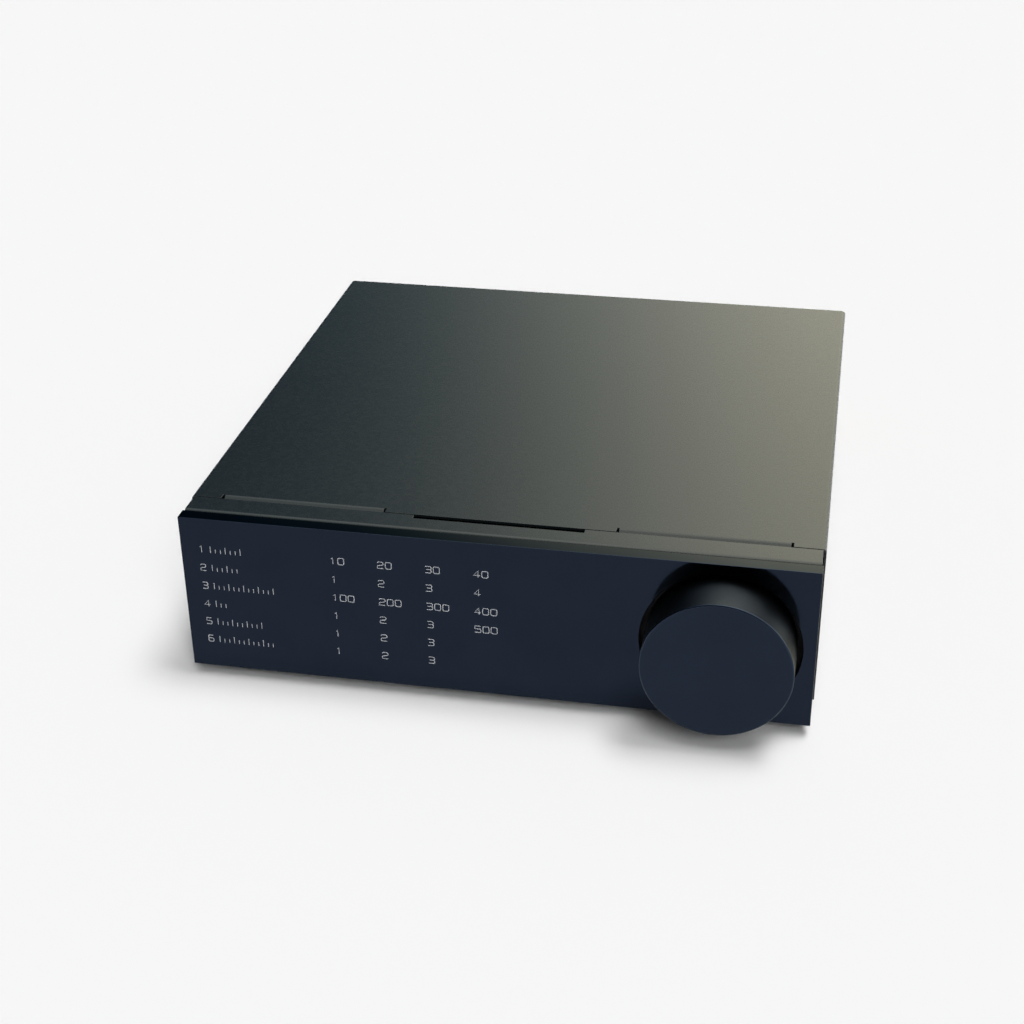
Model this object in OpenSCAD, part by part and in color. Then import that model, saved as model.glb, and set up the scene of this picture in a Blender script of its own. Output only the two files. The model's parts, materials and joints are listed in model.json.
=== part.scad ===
// Desktop phono preamplifier: a folded steel case behind a thick machined
// front plate, with one large push-and-turn knob and a full rear panel.
// Millimetres. +X is right seen from the front, the front faces -Y, +Z is up.
// The origin is on the table, at the centre of the whole object's footprint.

/* [Case] */
// Width of the front plate
case_w = 220; // [220:1:230]
// How far the cover stands out beyond the front plate on each side
cover_over = 0.6; // [0:0.1:1]
// Height of the case without its feet
case_h = 60.3; // [60:0.1:64]
// Depth from the front plate's face to the cover's rear face
case_d = 225.5; // [225:0.5:240]
// Thickness of the sheet steel of tray and cover
sheet_t = 1; // [0.8:0.1:1.2]
// Depth of the chassis strip that shows between front plate and cover
strip_d = 10.7; // [9:0.1:12]
// Height of the feet
foot_h = 5; // [4:0.5:6]
// Diameter of the feet
foot_d = 20; // [16:1:22]

/* [Front plate] */
// Thickness of the machined front plate
plate_t = 5.2; // [5:0.1:7]
// Metal left in front of the pocket for the light mask
plate_web = 1.2; // [1:0.1:1.5]
// Columns of lit values
legend_cols = 4; // [3:1:4]
// Rows of lit values
legend_rows = 6; // [4:1:6]
// Distance between the columns
legend_dx = 16.8; // [16:0.1:17]
// Distance between the rows
legend_dz = 7.35; // [7:0.05:7.4]
// X of the first column's centre
legend_x = -52.2; // [-54:0.1:-50]
// Height of the top row above the case's underside
legend_z = 48.3; // [48:0.1:49]

/* [Knob] */
// Diameter of the knob
knob_d = 51; // [48:0.5:51]
// How far the knob stands out of the front plate
knob_proud = 16; // [14:0.5:20]
// Distance of the knob's axis from the middle of the case
knob_x = 78.2; // [76:0.1:80]
// Height of the knob's axis above the case's underside
knob_z = 29.1; // [28.5:0.1:30]
// Gap all round between the knob and its hole in the front plate
knob_gap = 1.95; // [1.5:0.05:2]
// Travel of the push switch
push_travel = 0.5; // [0.3:0.1:0.6]

/* [Rear panel] */
// Thickness of the rear panel
panel_t = 1.5; // [1.2:0.1:1.8]
// How far the ground post stands out of the cover's rear face
post_proud = 14; // [13:0.5:16]
// Height of the middle of the connector row above the underside
socket_z = 28.5; // [28:0.1:29]
// X of the mains inlet
inlet_x = -88; // [-88:0.5:-87]
// X of the power switch
switch_x = -60; // [-60:0.5:-59]
// X of the two output phono sockets
rca_out_x = -40; // [-40.5:0.5:-39.5]
// X of the two input phono sockets
rca_in_x = 88; // [87.5:0.5:88.5]
// Distance between the upper and the lower phono socket
rca_pitch = 24; // [22:0.5:25]
// X of the first of the four balanced sockets: two outputs, then two inputs
xlr_x0 = -18.5; // [-18.6:0.1:-18.3]
// Distance between the balanced sockets
xlr_pitch = 27.7; // [27.5:0.1:27.8]
// X of the ground post
ground_x = 101.5; // [101:0.5:102]

/* [Hidden] */
$fn = 48;

// Overall planes
front_y = knob_proud - (knob_proud + case_d + post_proud) / 2;
rear_y = front_y + case_d;
base_z = foot_h;
top_z = base_z + case_h;
wall_y = front_y + plate_t;
seam_y = wall_y + strip_d;
panel_y = rear_y - sheet_t;
panel_in_y = panel_y - panel_t;
floor_z = base_z + sheet_t;
tray_gap = 0.1;
cover_w = case_w + 2 * cover_over;
tray_w = cover_w - 2 * (sheet_t + tray_gap);
seam_gap = 0.4;
// Clearance of parts that are pressed or screwed into each other
fit_gap = 0.02;

// M3 fasteners
m3_r = 1.5;
m3_hole_r = 1.55;
m3_clear_r = 1.7;
m3_head_r = 2.75;
m3_head_h = 1.8;
m3_key_r = 1;
hex_af = 5.5;
plate_thread_d = 4.2;
plate_screw_bite = 4;
case_screw_l = 5;
board_screw_l = 5.5;
stud_screw_l = 6;

// Tray
tray_bend_r = 2;
lip_h = 12;
cheek_l = 12;
foot_inset_x = 22;
foot_inset_y = 24;
foot_bore_r = m3_head_r + 0.75;
foot_seat_z = 2.6;
foot_screw_bite = 4;
vent_w = 3;
vent_l = 34;
vent_n = 7;
vent_dx = 8;
vent_x = 8;
vent_y = -40;
pry_slot_w = 59.5;
pry_slot_d = 2.2;

// Cover
cover_bend_r = 1.3;
tab_w = 58.6;
tab_starts = [-99.3, 40.7];
tab_l = 7;
joggle_l = 2.6;
joggle_steps = 8;
relief_w = 0.8;
rear_flange_h = 8;
cover_screw_x = [-80, 0, 80];
cover_screw_z = top_z - 4.6;
panel_top_gap = 0.4;
panel_flange_l = 11;
panel_screw_y = panel_in_y - 6;

// Knob and encoder
knob_axis_z = base_z + knob_z;
knob_wall_gap = 1;
knob_back_y = wall_y - knob_wall_gap;
knob_front_y = front_y - knob_proud;
knob_edge = 0.5;
knob_well_r = 8.5;
knob_well_d = 8;
shaft_r = 3;
shaft_flat = 0.5;
shaft_tip_gap = 0.6;
shaft_bore_d = 9;
bushing_r = 4.5;
bushing_l = 7;
bushing_clear = 0.05;
encoder_w = 14;
encoder_h = 13;
encoder_t = 6.5;
encoder_cavity_r = 5;
encoder_front_t = 1.2;
encoder_washer_r = 7;
encoder_washer_t = 0.6;
encoder_nut_af = 12;
encoder_nut_t = 2;
encoder_key_l = 5.9;
encoder_key_h = 2;
plunger_r = 4.5;
plunger_t = 1.5;
collar_r = 4.2;
collar_t = 1;
encoder_cavity_t = encoder_front_t + collar_t + plunger_t + push_travel + 0.8;
set_screw_r = 2;
set_screw_l = 6;
set_screw_key_r = 1.1;
set_screw_y = front_y - 8;

// Control board and light mask
board_t = 1.6;
control_y = wall_y + sheet_t + encoder_t;
control_x0 = -70;
control_x1 = 100;
control_z0 = base_z + 6;
control_z1 = base_z + 53.5;
control_studs = [[-66, 9.5], [-66, 50], [30, 9.5], [30, 50], [96, 9.5], [96, 50]];
plate_screws = [[-100, 9], [-100, 51.5], [14, 5], [14, 55.5], [103.5, 9], [103.5, 51.5]];
mask_border = 2;
mask_clear = 0.2;
cell_w = 13;
cell_h = 5;
mask_x0 = legend_x - cell_w / 2 - mask_border;
mask_x1 = legend_x + (legend_cols - 1) * legend_dx + cell_w / 2 + mask_border;
mask_z1 = base_z + legend_z + cell_h / 2 + mask_border;
mask_z0 = base_z + legend_z - (legend_rows - 1) * legend_dz - cell_h / 2 - mask_border;
led_w = 3.2;
led_h = 1.6;
led_t = 1.2;
// Values per row, from the top: the two lowest rows have one fewer
row_values = [4, 4, 4, 4, 3, 3];

// Main board
standoff_h = 6;
main_z = floor_z + standoff_h;
main_top = main_z + board_t;
main_x0 = -45;
main_x1 = 104;
main_y0 = -50;
main_y1 = panel_in_y - 3;
main_holes = [[-40, -44], [99, -44], [-40, 52], [99, 52], [30, 4]];
film_box = [18, 7, 13];
dip_box = [9.6, 6.4, 3.6];
relay_box = [10, 15, 10];
relay_x = [-34, -14, 12, 32, 52, 72];
relay_y = 64;
film_x = [-30, -6, 62, 86];
film_y = [-28, -14, 0, 14];
dip_places = [[-30, 34], [-10, 34], [-30, 48], [-10, 48], [14, -36], [34, -36]];
// Electrolytic capacitors: x, y, radius and height
supply_caps = [[-84, -72, 8, 30], [-66, -72, 8, 30]];
main_caps = [[14, -20, 4, 12], [24, -20, 4, 12], [34, -20, 4, 12], [44, -20, 4, 12],
             [14, 4, 6.3, 18], [44, 4, 6.3, 18]];
can_x = 14;
can_y = 24;
can_box = [52, 36, 16];
can_t = 0.5;

// Supply board
supply_x0 = -104;
supply_x1 = -50;
supply_y0 = -90;
supply_y1 = -28;
supply_z = main_z;
supply_top = supply_z + board_t;
supply_holes = [[-100, -86], [-54, -86], [-100, -32], [-54, -32]];
sink_w = 44;
sink_h = 26;
sink_t = 3;
sink_fin_l = 8;
sink_fin_t = 1.6;
sink_fins = 8;
sink_y = -52;
reg_w = 10;
reg_h = 15;
reg_t = 4.4;
reg_dx = 14;
reg_leg_pitch = 2.54;
reg_leg_w = 0.8;
reg_leg_t = 0.6;
reg_leg_h = 4;

// Mains transformer
toroid_x = -76;
toroid_y = 20;
toroid_r = 29;
toroid_hole_r = 9;
toroid_h = 30;
toroid_edge = 6;
pad_t = 2;
clamp_t = 1.5;
m5_r = 2.5;
m5_hole_r = 2.6;
m5_head_r = 4.4;
m5_head_h = 3;
m5_nut_af = 8;
m5_nut_t = 4;
m5_tail = 2;

// Mains inlet and fuse drawer
inlet_z = base_z + socket_z;
bezel_w = 31;
bezel_h = 38;
bezel_t = 2;
inlet_w = 27.4;
inlet_h = 34;
inlet_d = 22;
iec_w = 24.4;
iec_h = 16.6;
iec_d = 16;
iec_dz = 7;
iec_corner = 5;
blade_l = 13;
blade_w = 4;
blade_t = 2;
blade_dx = 7;
blade_tail = 7;
bezel_r = 2;
drawer_w = 22;
drawer_h = 8;
drawer_d = 19;
drawer_dz = -11.5;
drawer_clear = 0.2;
fuse_r = 2.5;
fuse_l = 20;
drawer_lip = 1.4;
fuse_y = panel_y - 9;
fuse_floor_z = -2.8;
fuse_bay_w = 6;
grip_w = 10;
grip_h = 1.5;

// Power switch
rocker_w = 10.6;
rocker_tilt = 10;
switch_bezel_w = 15;
switch_bezel_h = 21;
switch_bezel_t = 1.5;
switch_bezel_r = 1.2;
switch_w = 13;
switch_h = 19;
switch_d = 14;
rocker_gap = 0.2;
rocker_open_h = 17;
pivot_depth = 4;
pivot_r = 1.2;
pivot_l = 0.8;
rocker_y = panel_y + switch_bezel_t - pivot_depth;

// Leads from the inlet to the switch
lead_r = 1.2;
lead_bend_extra = 0.05;
lead_straight = 2;
tag_w = 3;
tag_t = 0.8;
tag_l = 6;

// Phono sockets
rca_z = [socket_z + rca_pitch / 2, socket_z - rca_pitch / 2];
rca_r = 4.15;
rca_bore_r = 3.3;
rca_l = 9;
rca_thread_r = 4;
rca_thread_l = 9;
rca_flange_r = 6;
rca_flange_t = 1.2;
rca_collar_r = 6.9;
rca_collar_t = 1.6;
rca_contact_r = 2.1;
rca_contact_bore_r = 1.6;
rca_nut_af = 11;
rca_nut_t = 2.5;

// Balanced sockets
xlr_x = [for (i = [0:3]) xlr_x0 + i * xlr_pitch];
xlr_flange_w = 26;
xlr_flange_h = 31;
xlr_flange_t = 2.6;
xlr_flange_r = 3;
xlr_body_r = 11.8;
xlr_hole_r = 12;
xlr_bore_r = 9.7;
xlr_body_l = 20;
xlr_floor_t = 2;
xlr_screw_dx = 9.5;
xlr_screw_dz = 12;
xlr_insert_r = 7.6;
xlr_insert_back = 1.2;
xlr_disc_t = 3;
xlr_tail_l = 5;
xlr_socket_r = 1.5;
xlr_pin_r = 1.2;
xlr_pin_l = 13;
xlr_pin_pcd_r = 4.6;
latch_w = 8;
latch_h = 3.2;
latch_slot_z = 10.6;
latch_gap = 0.1;
latch_proud = 1.2;
latch_back = 0.1;
latch_travel = 1.2;
latch_dish_d = 0.4;
latch_rim = 0.8;
latch_slot_h = latch_h + latch_travel + 3 * latch_gap;

// Ground post
post_r = 2;
post_collar_r = 5;
post_collar_t = 2;
post_washer_r = 4.6;
post_washer_t = 0.8;
post_nut_r = 5;
post_nut_t = 6;
post_shoulder_l = 1.5;
post_back_af = 7;
post_back_t = 3;
post_knurls = 20;
post_groove_r = 0.35;

// ---------- helpers ----------

// Points of an arc round c, from angle a0 to a1
function arc(c, r, a0, a1, n = 6) =
    [for (i = [0:n]) let (a = a0 + (a1 - a0) * i / n) [c[0] + r * cos(a), c[1] + r * sin(a)]];

// Flat shape in X and Z, extruded along Y from y0 to y1
module along_y(y0, y1) {
    translate([0, y1, 0]) rotate([90, 0, 0]) linear_extrude(y1 - y0) children();
}

// Flat shape in Y and Z, extruded along X from x0 to x1
module along_x(x0, x1) {
    translate([x0, 0, 0]) rotate([90, 0, 90]) linear_extrude(x1 - x0) children();
}

// Round bar along Y from y0 to y1
module rod_y(x, z, r, y0, y1) {
    translate([x, y0, z]) rotate([-90, 0, 0]) cylinder(r = r, h = y1 - y0);
}

// Block between two corners
module block(a, b) {
    translate(a) cube(b - a);
}

// Rectangle with round corners, about the origin
module round_rect(w, h, r) {
    square([w - 2 * r, h], center = true);
    square([w, h - 2 * r], center = true);
    for (sx = [-1, 1], sz = [-1, 1]) translate([sx * (w / 2 - r), sz * (h / 2 - r)]) circle(r);
}

// Hexagon of a given width across its flats
module hexagon(af) {
    circle(r = af / sqrt(3), $fn = 6);
}

// Pan head screw: the head's underside is at the origin, the shank runs along -Z
module pan_screw(shank_l) {
    difference() {
        cylinder(r = m3_head_r, h = m3_head_h);
        translate([0, 0, m3_head_h / 2]) cylinder(r = m3_key_r, h = m3_head_h, $fn = 6);
    }
    translate([0, 0, -shank_l]) cylinder(r = m3_r, h = shank_l);
}

// ---------- case ----------

module front_plate() color([0.12, 0.145, 0.19]) {
    difference() {
        block([-case_w / 2, front_y, base_z], [case_w / 2, wall_y, top_z]);
        rod_y(knob_x, knob_axis_z, knob_d / 2 + knob_gap, front_y - 1, wall_y + 1);
        block([mask_x0 - mask_clear, front_y + plate_web, mask_z0 - mask_clear],
              [mask_x1 + mask_clear, wall_y + 1, mask_z1 + mask_clear]);
        for (p = plate_screws) {
            rod_y(p[0], base_z + p[1], m3_hole_r, wall_y - plate_thread_d, wall_y + 1);
        }
    }
}

// Folded outline of the tray: floor, front wall and top strip
tray_rear = rear_y - sheet_t;
strip_rear = seam_y - seam_gap;
tray_outline = concat(
    [[tray_rear, base_z]],
    arc([wall_y + tray_bend_r, base_z + tray_bend_r], tray_bend_r, 270, 180),
    arc([wall_y + tray_bend_r, top_z - tray_bend_r], tray_bend_r, 180, 90),
    [[strip_rear, top_z], [strip_rear, top_z - sheet_t]],
    arc([wall_y + tray_bend_r, top_z - tray_bend_r], tray_bend_r - sheet_t, 90, 180),
    arc([wall_y + tray_bend_r, base_z + tray_bend_r], tray_bend_r - sheet_t, 180, 270),
    [[tray_rear, floor_z]]
);

// Outline of the cheek that closes each end of the front channel and runs on under the cover
cheek_outline = concat(
    arc([wall_y + tray_bend_r, base_z + tray_bend_r], tray_bend_r, 270, 180),
    arc([wall_y + tray_bend_r, top_z - tray_bend_r], tray_bend_r, 180, 90),
    [[strip_rear, top_z], [strip_rear, top_z - sheet_t - tray_gap],
     [seam_y + cheek_l, top_z - sheet_t - tray_gap], [seam_y + cheek_l, base_z]]
);

module base_tray() color([0.13, 0.14, 0.13]) {
    difference() {
        union() {
            along_x(-tray_w / 2, tray_w / 2) polygon(tray_outline);
            for (x = [-tray_w / 2, tray_w / 2 - sheet_t]) {
                along_x(x, x + sheet_t) polygon(cheek_outline);
                block([x, seam_y, base_z], [x + sheet_t, panel_in_y - 1, base_z + lip_h]);
            }
        }
        // Slot in the strip's rear edge, where a blade lifts the cover
        block([-pry_slot_w / 2, strip_rear - pry_slot_d, top_z - 2 * sheet_t],
              [pry_slot_w / 2, strip_rear + 1, top_z + 1]);
        // Front wall: light mask, encoder and plate screws
        block([mask_x0 - mask_clear, wall_y - 1, mask_z0 - mask_clear],
              [mask_x1 + mask_clear, wall_y + 2 * sheet_t, mask_z1 + mask_clear]);
        rod_y(knob_x, knob_axis_z, bushing_r + 0.1, wall_y - 1, wall_y + 2 * sheet_t);
        for (p = plate_screws) {
            rod_y(p[0], base_z + p[1], m3_clear_r, wall_y - 1, wall_y + 2 * sheet_t);
        }
        // Floor: feet, rear panel, transformer and vents
        for (p = foot_places()) translate([p[0], p[1], base_z - 1]) cylinder(r = m3_hole_r, h = 4);
        for (x = cover_screw_x) {
            translate([x, panel_screw_y, base_z - 1]) cylinder(r = m3_clear_r, h = 4);
        }
        translate([toroid_x, toroid_y, base_z - 1]) cylinder(r = m5_hole_r, h = 4);
        for (i = [0:vent_n - 1]) {
            translate([vent_x + i * vent_dx, vent_y, base_z - 1])
                linear_extrude(4) round_rect(vent_w, vent_l, vent_w / 2 - 0.01);
        }
    }
}

// Outline of the cover's top and sides, seen from the front
function cover_outline(w, r) = concat(
    [[-w / 2, base_z]],
    arc([-w / 2 + r, top_z - r], r, 180, 90),
    arc([w / 2 - r, top_z - r], r, 90, 0),
    [[w / 2, base_z], [w / 2 - sheet_t, base_z]],
    arc([w / 2 - r, top_z - r], r - sheet_t, 0, 90),
    arc([-w / 2 + r, top_z - r], r - sheet_t, 90, 180),
    [[-w / 2 + sheet_t, base_z]]
);

// Outline of the cover's rear bend and flange, in Y and Z
cover_rear_outline = concat(
    [[rear_y - cover_bend_r, top_z]],
    arc([rear_y - cover_bend_r, top_z - cover_bend_r], cover_bend_r, 90, 0),
    [[rear_y, top_z - rear_flange_h], [rear_y - sheet_t, top_z - rear_flange_h]],
    arc([rear_y - cover_bend_r, top_z - cover_bend_r], cover_bend_r - sheet_t, 0, 90),
    [[rear_y - cover_bend_r, top_z - sheet_t]]
);

// Outline of a tab that steps down under the strip
joggle_drop = sheet_t + 0.1;
function joggle_z(s) = top_z - joggle_drop * (1 - cos(180 * s)) / 2;
function joggle_line(dz) = [
    for (i = [0:joggle_steps]) let (s = i / joggle_steps) [seam_y + joggle_l * (1 - s), joggle_z(s) + dz]
];
function reversed(v) = [for (i = [len(v) - 1:-1:0]) v[i]];
tab_outline = concat(
    joggle_line(0),
    [[seam_y - tab_l, top_z - joggle_drop], [seam_y - tab_l, top_z - joggle_drop - sheet_t]],
    reversed(joggle_line(-sheet_t))
);

module top_cover() color([0.25, 0.26, 0.24]) {
    difference() {
        union() {
            difference() {
                along_y(seam_y, rear_y - cover_bend_r) polygon(cover_outline(cover_w, cover_bend_r));
                for (x = tab_starts) {
                    block([x - relief_w / 2, seam_y - 1, top_z - 3],
                          [x + tab_w + relief_w / 2, seam_y + joggle_l, top_z + 1]);
                }
            }
            for (x = tab_starts) along_x(x + relief_w / 2, x + tab_w - relief_w / 2) polygon(tab_outline);
            along_x(-cover_w / 2 + cover_bend_r, cover_w / 2 - cover_bend_r) polygon(cover_rear_outline);
        }
        for (x = cover_screw_x) rod_y(x, cover_screw_z, m3_clear_r, rear_y - 2 * sheet_t, rear_y + 1);
    }
}

module rear_panel() color([0.14, 0.15, 0.15]) {
    w = tray_w - 2 * tray_gap;
    flange_w = w - 2 * sheet_t;
    difference() {
        union() {
            block([-w / 2, panel_in_y, floor_z], [w / 2, panel_y, top_z - sheet_t - panel_top_gap]);
            block([-flange_w / 2, panel_in_y - panel_flange_l, floor_z],
                  [flange_w / 2, panel_in_y, floor_z + panel_t]);
        }
        translate([inlet_x, 0, inlet_z]) along_y(panel_in_y - 1, panel_y + 1)
            square([inlet_w + 0.2, inlet_h + 0.2], center = true);
        translate([switch_x, 0, inlet_z]) along_y(panel_in_y - 1, panel_y + 1)
            square([switch_w + 0.2, switch_h + 0.2], center = true);
        for (x = [rca_out_x, rca_in_x], z = rca_z) {
            rod_y(x, base_z + z, rca_thread_r + 0.1, panel_in_y - 1, panel_y + 1);
        }
        for (x = xlr_x) {
            rod_y(x, base_z + socket_z, xlr_hole_r, panel_in_y - 1, panel_y + 1);
            for (s = [-1, 1]) {
                rod_y(x + s * xlr_screw_dx, base_z + socket_z + s * xlr_screw_dz, m3_hole_r,
                      panel_in_y - 1, panel_y + 1);
            }
        }
        rod_y(ground_x, base_z + socket_z, post_r + 0.1, panel_in_y - 1, panel_y + 1);
        for (x = cover_screw_x) {
            rod_y(x, cover_screw_z, m3_hole_r, panel_in_y - 1, panel_y + 1);
            translate([x, panel_screw_y, floor_z - 1]) cylinder(r = m3_hole_r, h = 4);
        }
    }
}

module front_plate_screws() color([0.75, 0.75, 0.76]) {
    for (p = plate_screws) {
        translate([p[0], wall_y + sheet_t, base_z + p[1]]) rotate([-90, 0, 0])
            pan_screw(sheet_t + plate_screw_bite);
    }
}

module cover_screws() color([0.12, 0.12, 0.12]) {
    for (x = cover_screw_x) {
        translate([x, rear_y, cover_screw_z]) rotate([-90, 0, 0]) pan_screw(case_screw_l);
    }
}

module rear_panel_screws() color([0.12, 0.12, 0.12]) {
    for (x = cover_screw_x) {
        translate([x, panel_screw_y, base_z]) rotate([180, 0, 0]) pan_screw(case_screw_l);
    }
}

function foot_places() = [
    for (sx = [-1, 1], y = [front_y + foot_inset_y, rear_y - foot_inset_y])
        [sx * (case_w / 2 - foot_inset_x), y]
];

// Turned rubber foot with a counterbore for its screw
module feet() color([0.05, 0.05, 0.05]) {
    r = foot_d / 2;
    for (p = foot_places()) {
        translate([p[0], p[1], 0]) rotate_extrude() polygon([
            [foot_bore_r, 0], [r - 2, 0], [r - 1.2, 0.4], [r, base_z - 0.8], [r - 0.4, base_z],
            [m3_clear_r, base_z], [m3_clear_r, foot_seat_z], [foot_bore_r, foot_seat_z]
        ]);
    }
}

module foot_screws() color([0.7, 0.7, 0.72]) {
    shank_l = base_z - foot_seat_z + foot_screw_bite;
    for (p = foot_places()) translate([p[0], p[1], foot_seat_z]) rotate([180, 0, 0]) pan_screw(shank_l);
}

// ---------- knob and encoder ----------

// Turned knob: profile of radius against depth from the front face
module knob() color([0.13, 0.16, 0.2]) {
    r = knob_d / 2;
    l = knob_back_y - knob_front_y;
    bore_end = l - knob_well_d - shaft_bore_d;
    difference() {
        translate([knob_x, knob_front_y, knob_axis_z]) rotate([-90, 0, 0]) rotate_extrude($fn = 96)
            polygon([
                [0, 0], [r - knob_edge, 0], [r, knob_edge], [r, l - knob_edge], [r - knob_edge, l],
                [knob_well_r, l], [knob_well_r, l - knob_well_d], [shaft_r + fit_gap, l - knob_well_d],
                [shaft_r + fit_gap, bore_end], [0, bore_end]
            ]);
        translate([knob_x, set_screw_y, knob_axis_z - r - 1]) cylinder(r = set_screw_r + 0.05, h = r + 1);
    }
}

module knob_set_screw() color([0.2, 0.2, 0.2]) {
    z0 = knob_axis_z - shaft_r + shaft_flat - set_screw_l;
    translate([knob_x, set_screw_y, z0]) difference() {
        cylinder(r = set_screw_r, h = set_screw_l);
        translate([0, 0, -1]) cylinder(r = set_screw_key_r, h = 3, $fn = 6);
    }
}

module encoder_shaft() color([0.8, 0.8, 0.8]) {
    tip_y = knob_back_y - knob_well_d - shaft_bore_d + shaft_tip_gap;
    collar_y = wall_y + sheet_t + encoder_front_t;
    difference() {
        union() {
            rod_y(knob_x, knob_axis_z, shaft_r, tip_y, collar_y + collar_t);
            rod_y(knob_x, knob_axis_z, collar_r, collar_y, collar_y + collar_t);
        }
        block([knob_x - 5, tip_y - 1, knob_axis_z - shaft_r - 1],
              [knob_x + 5, wall_y - bushing_l, knob_axis_z - shaft_r + shaft_flat]);
    }
}

// Sliding cup behind the shaft, which passes the push to the switch and doesn't turn
module encoder_plunger() color([0.9, 0.9, 0.85]) {
    y0 = wall_y + sheet_t + encoder_front_t + collar_t;
    rod_y(knob_x, knob_axis_z, plunger_r, y0, y0 + plunger_t);
    block([knob_x - encoder_key_l, y0, knob_axis_z - encoder_key_h / 2],
          [knob_x + encoder_key_l, y0 + plunger_t, knob_axis_z + encoder_key_h / 2]);
}

module encoder_body() color([0.35, 0.37, 0.4]) {
    y0 = wall_y + sheet_t;
    difference() {
        union() {
            block([knob_x - encoder_w / 2, y0, knob_axis_z - encoder_h / 2],
                  [knob_x + encoder_w / 2, y0 + encoder_t, knob_axis_z + encoder_h / 2]);
            rod_y(knob_x, knob_axis_z, bushing_r, y0 - bushing_l, y0 + 1);
        }
        rod_y(knob_x, knob_axis_z, shaft_r + bushing_clear, y0 - bushing_l - 1, y0 + 2);
        rod_y(knob_x, knob_axis_z, encoder_cavity_r, y0 + 1, y0 + encoder_cavity_t);
        // Keyways that keep the plunger from turning
        block([knob_x - encoder_key_l - 0.1, y0 + 1, knob_axis_z - encoder_key_h / 2 - 0.1],
              [knob_x + encoder_key_l + 0.1, y0 + encoder_cavity_t, knob_axis_z + encoder_key_h / 2 + 0.1]);
    }
}

module encoder_washer() color([0.8, 0.8, 0.78]) {
    difference() {
        rod_y(knob_x, knob_axis_z, encoder_washer_r, wall_y - encoder_washer_t, wall_y);
        rod_y(knob_x, knob_axis_z, bushing_r + 0.1, wall_y - 2, wall_y + 1);
    }
}

module encoder_nut() color([0.8, 0.8, 0.78]) {
    y1 = wall_y - encoder_washer_t;
    translate([knob_x, 0, knob_axis_z]) along_y(y1 - encoder_nut_t, y1) difference() {
        hexagon(encoder_nut_af);
        circle(bushing_r + fit_gap);
    }
}

// ---------- control board ----------

module control_board() color([0.06, 0.2, 0.12]) {
    difference() {
        block([control_x0, control_y, control_z0], [control_x1, control_y + board_t, control_z1]);
        for (p = control_studs) rod_y(p[0], base_z + p[1], m3_clear_r, control_y - 1, control_y + 3);
        for (p = plate_screws) rod_y(p[0], base_z + p[1], 4, control_y - 1, control_y + 3);
    }
}

module control_board_studs() color([0.8, 0.68, 0.35]) {
    for (p = control_studs) {
        translate([p[0], 0, base_z + p[1]]) along_y(wall_y + sheet_t, control_y) difference() {
            hexagon(hex_af);
            circle(m3_hole_r);
        }
    }
}

module control_board_screws() color([0.75, 0.75, 0.76]) {
    for (p = control_studs) {
        translate([p[0], control_y + board_t, base_z + p[1]]) rotate([-90, 0, 0]) pan_screw(stud_screw_l);
    }
}

// True where a row has a value in a column
function lit(c, r) = c < row_values[r];
function cell_x(c) = legend_x + c * legend_dx;
function cell_z(r) = base_z + legend_z - r * legend_dz;

module light_mask() color([0.04, 0.04, 0.04]) {
    difference() {
        block([mask_x0, front_y + plate_web, mask_z0], [mask_x1, control_y, mask_z1]);
        for (c = [0:legend_cols - 1], r = [0:legend_rows - 1]) if (lit(c, r)) {
            translate([cell_x(c) - cell_w / 2, front_y, cell_z(r) - cell_h / 2])
                cube([cell_w, plate_t + sheet_t + encoder_t + 1, cell_h]);
        }
    }
}

module indicator_leds() color([0.95, 0.93, 0.85]) {
    for (c = [0:legend_cols - 1], r = [0:legend_rows - 1]) if (lit(c, r)) {
        translate([cell_x(c) - led_w / 2, control_y - led_t, cell_z(r) - led_h / 2])
            cube([led_w, led_t, led_h]);
    }
}

// Flat cable with its two plugs, from the control board down to the main board
module ribbon_cable() color([0.55, 0.56, 0.58]) {
    y0 = control_y + board_t;
    plug = 6;
    header_y = main_y0 + 6;
    z_high = base_z + 22;
    z_low = main_top + plug;
    t = 0.8;
    w = 26;
    x0 = 44;
    block([x0, y0, z_high - 3], [x0 + w, y0 + plug, z_high + 4]);
    block([x0, header_y - 3, main_top], [x0 + w, header_y + 3, main_top + plug]);
    along_x(x0 + 0.5, x0 + w - 0.5) polygon([
        [y0 + plug, z_high], [y0 + plug + 6, z_high], [header_y - 6, z_low + 4], [header_y, z_low + 4],
        [header_y, z_low], [header_y + t, z_low], [header_y + t, z_low + 4 + t],
        [header_y - 6 + t / 3, z_low + 4 + t], [y0 + plug + 6 + t / 3, z_high + t], [y0 + plug, z_high + t]
    ]);
}

// ---------- main board ----------

module main_board() color([0.05, 0.22, 0.13]) {
    difference() {
        block([main_x0, main_y0, main_z], [main_x1, main_y1, main_top]);
        for (p = main_holes) translate([p[0], p[1], main_z - 1]) cylinder(r = m3_clear_r, h = 4);
    }
}

module board_standoffs() color([0.8, 0.68, 0.35]) {
    for (p = concat(main_holes, supply_holes)) {
        translate([p[0], p[1], floor_z]) linear_extrude(standoff_h) difference() {
            hexagon(hex_af);
            circle(m3_hole_r);
        }
    }
}

module board_screws() color([0.75, 0.75, 0.76]) {
    for (p = concat(main_holes, supply_holes)) translate([p[0], p[1], main_top]) pan_screw(board_screw_l);
}

module relays() color([0.92, 0.9, 0.85]) {
    for (x = relay_x) translate([x, relay_y, main_top]) cube(relay_box);
}

module film_capacitors() color([0.7, 0.12, 0.1]) {
    for (x = film_x, y = film_y) {
        translate([x - film_box[0] / 2, y, main_top]) cube(film_box);
    }
}

module electrolytic_capacitors() color([0.1, 0.12, 0.3]) {
    for (c = supply_caps) translate([c[0], c[1], supply_top]) cylinder(r = c[2], h = c[3]);
    for (c = main_caps) translate([c[0], c[1], main_top]) cylinder(r = c[2], h = c[3]);
}

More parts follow.
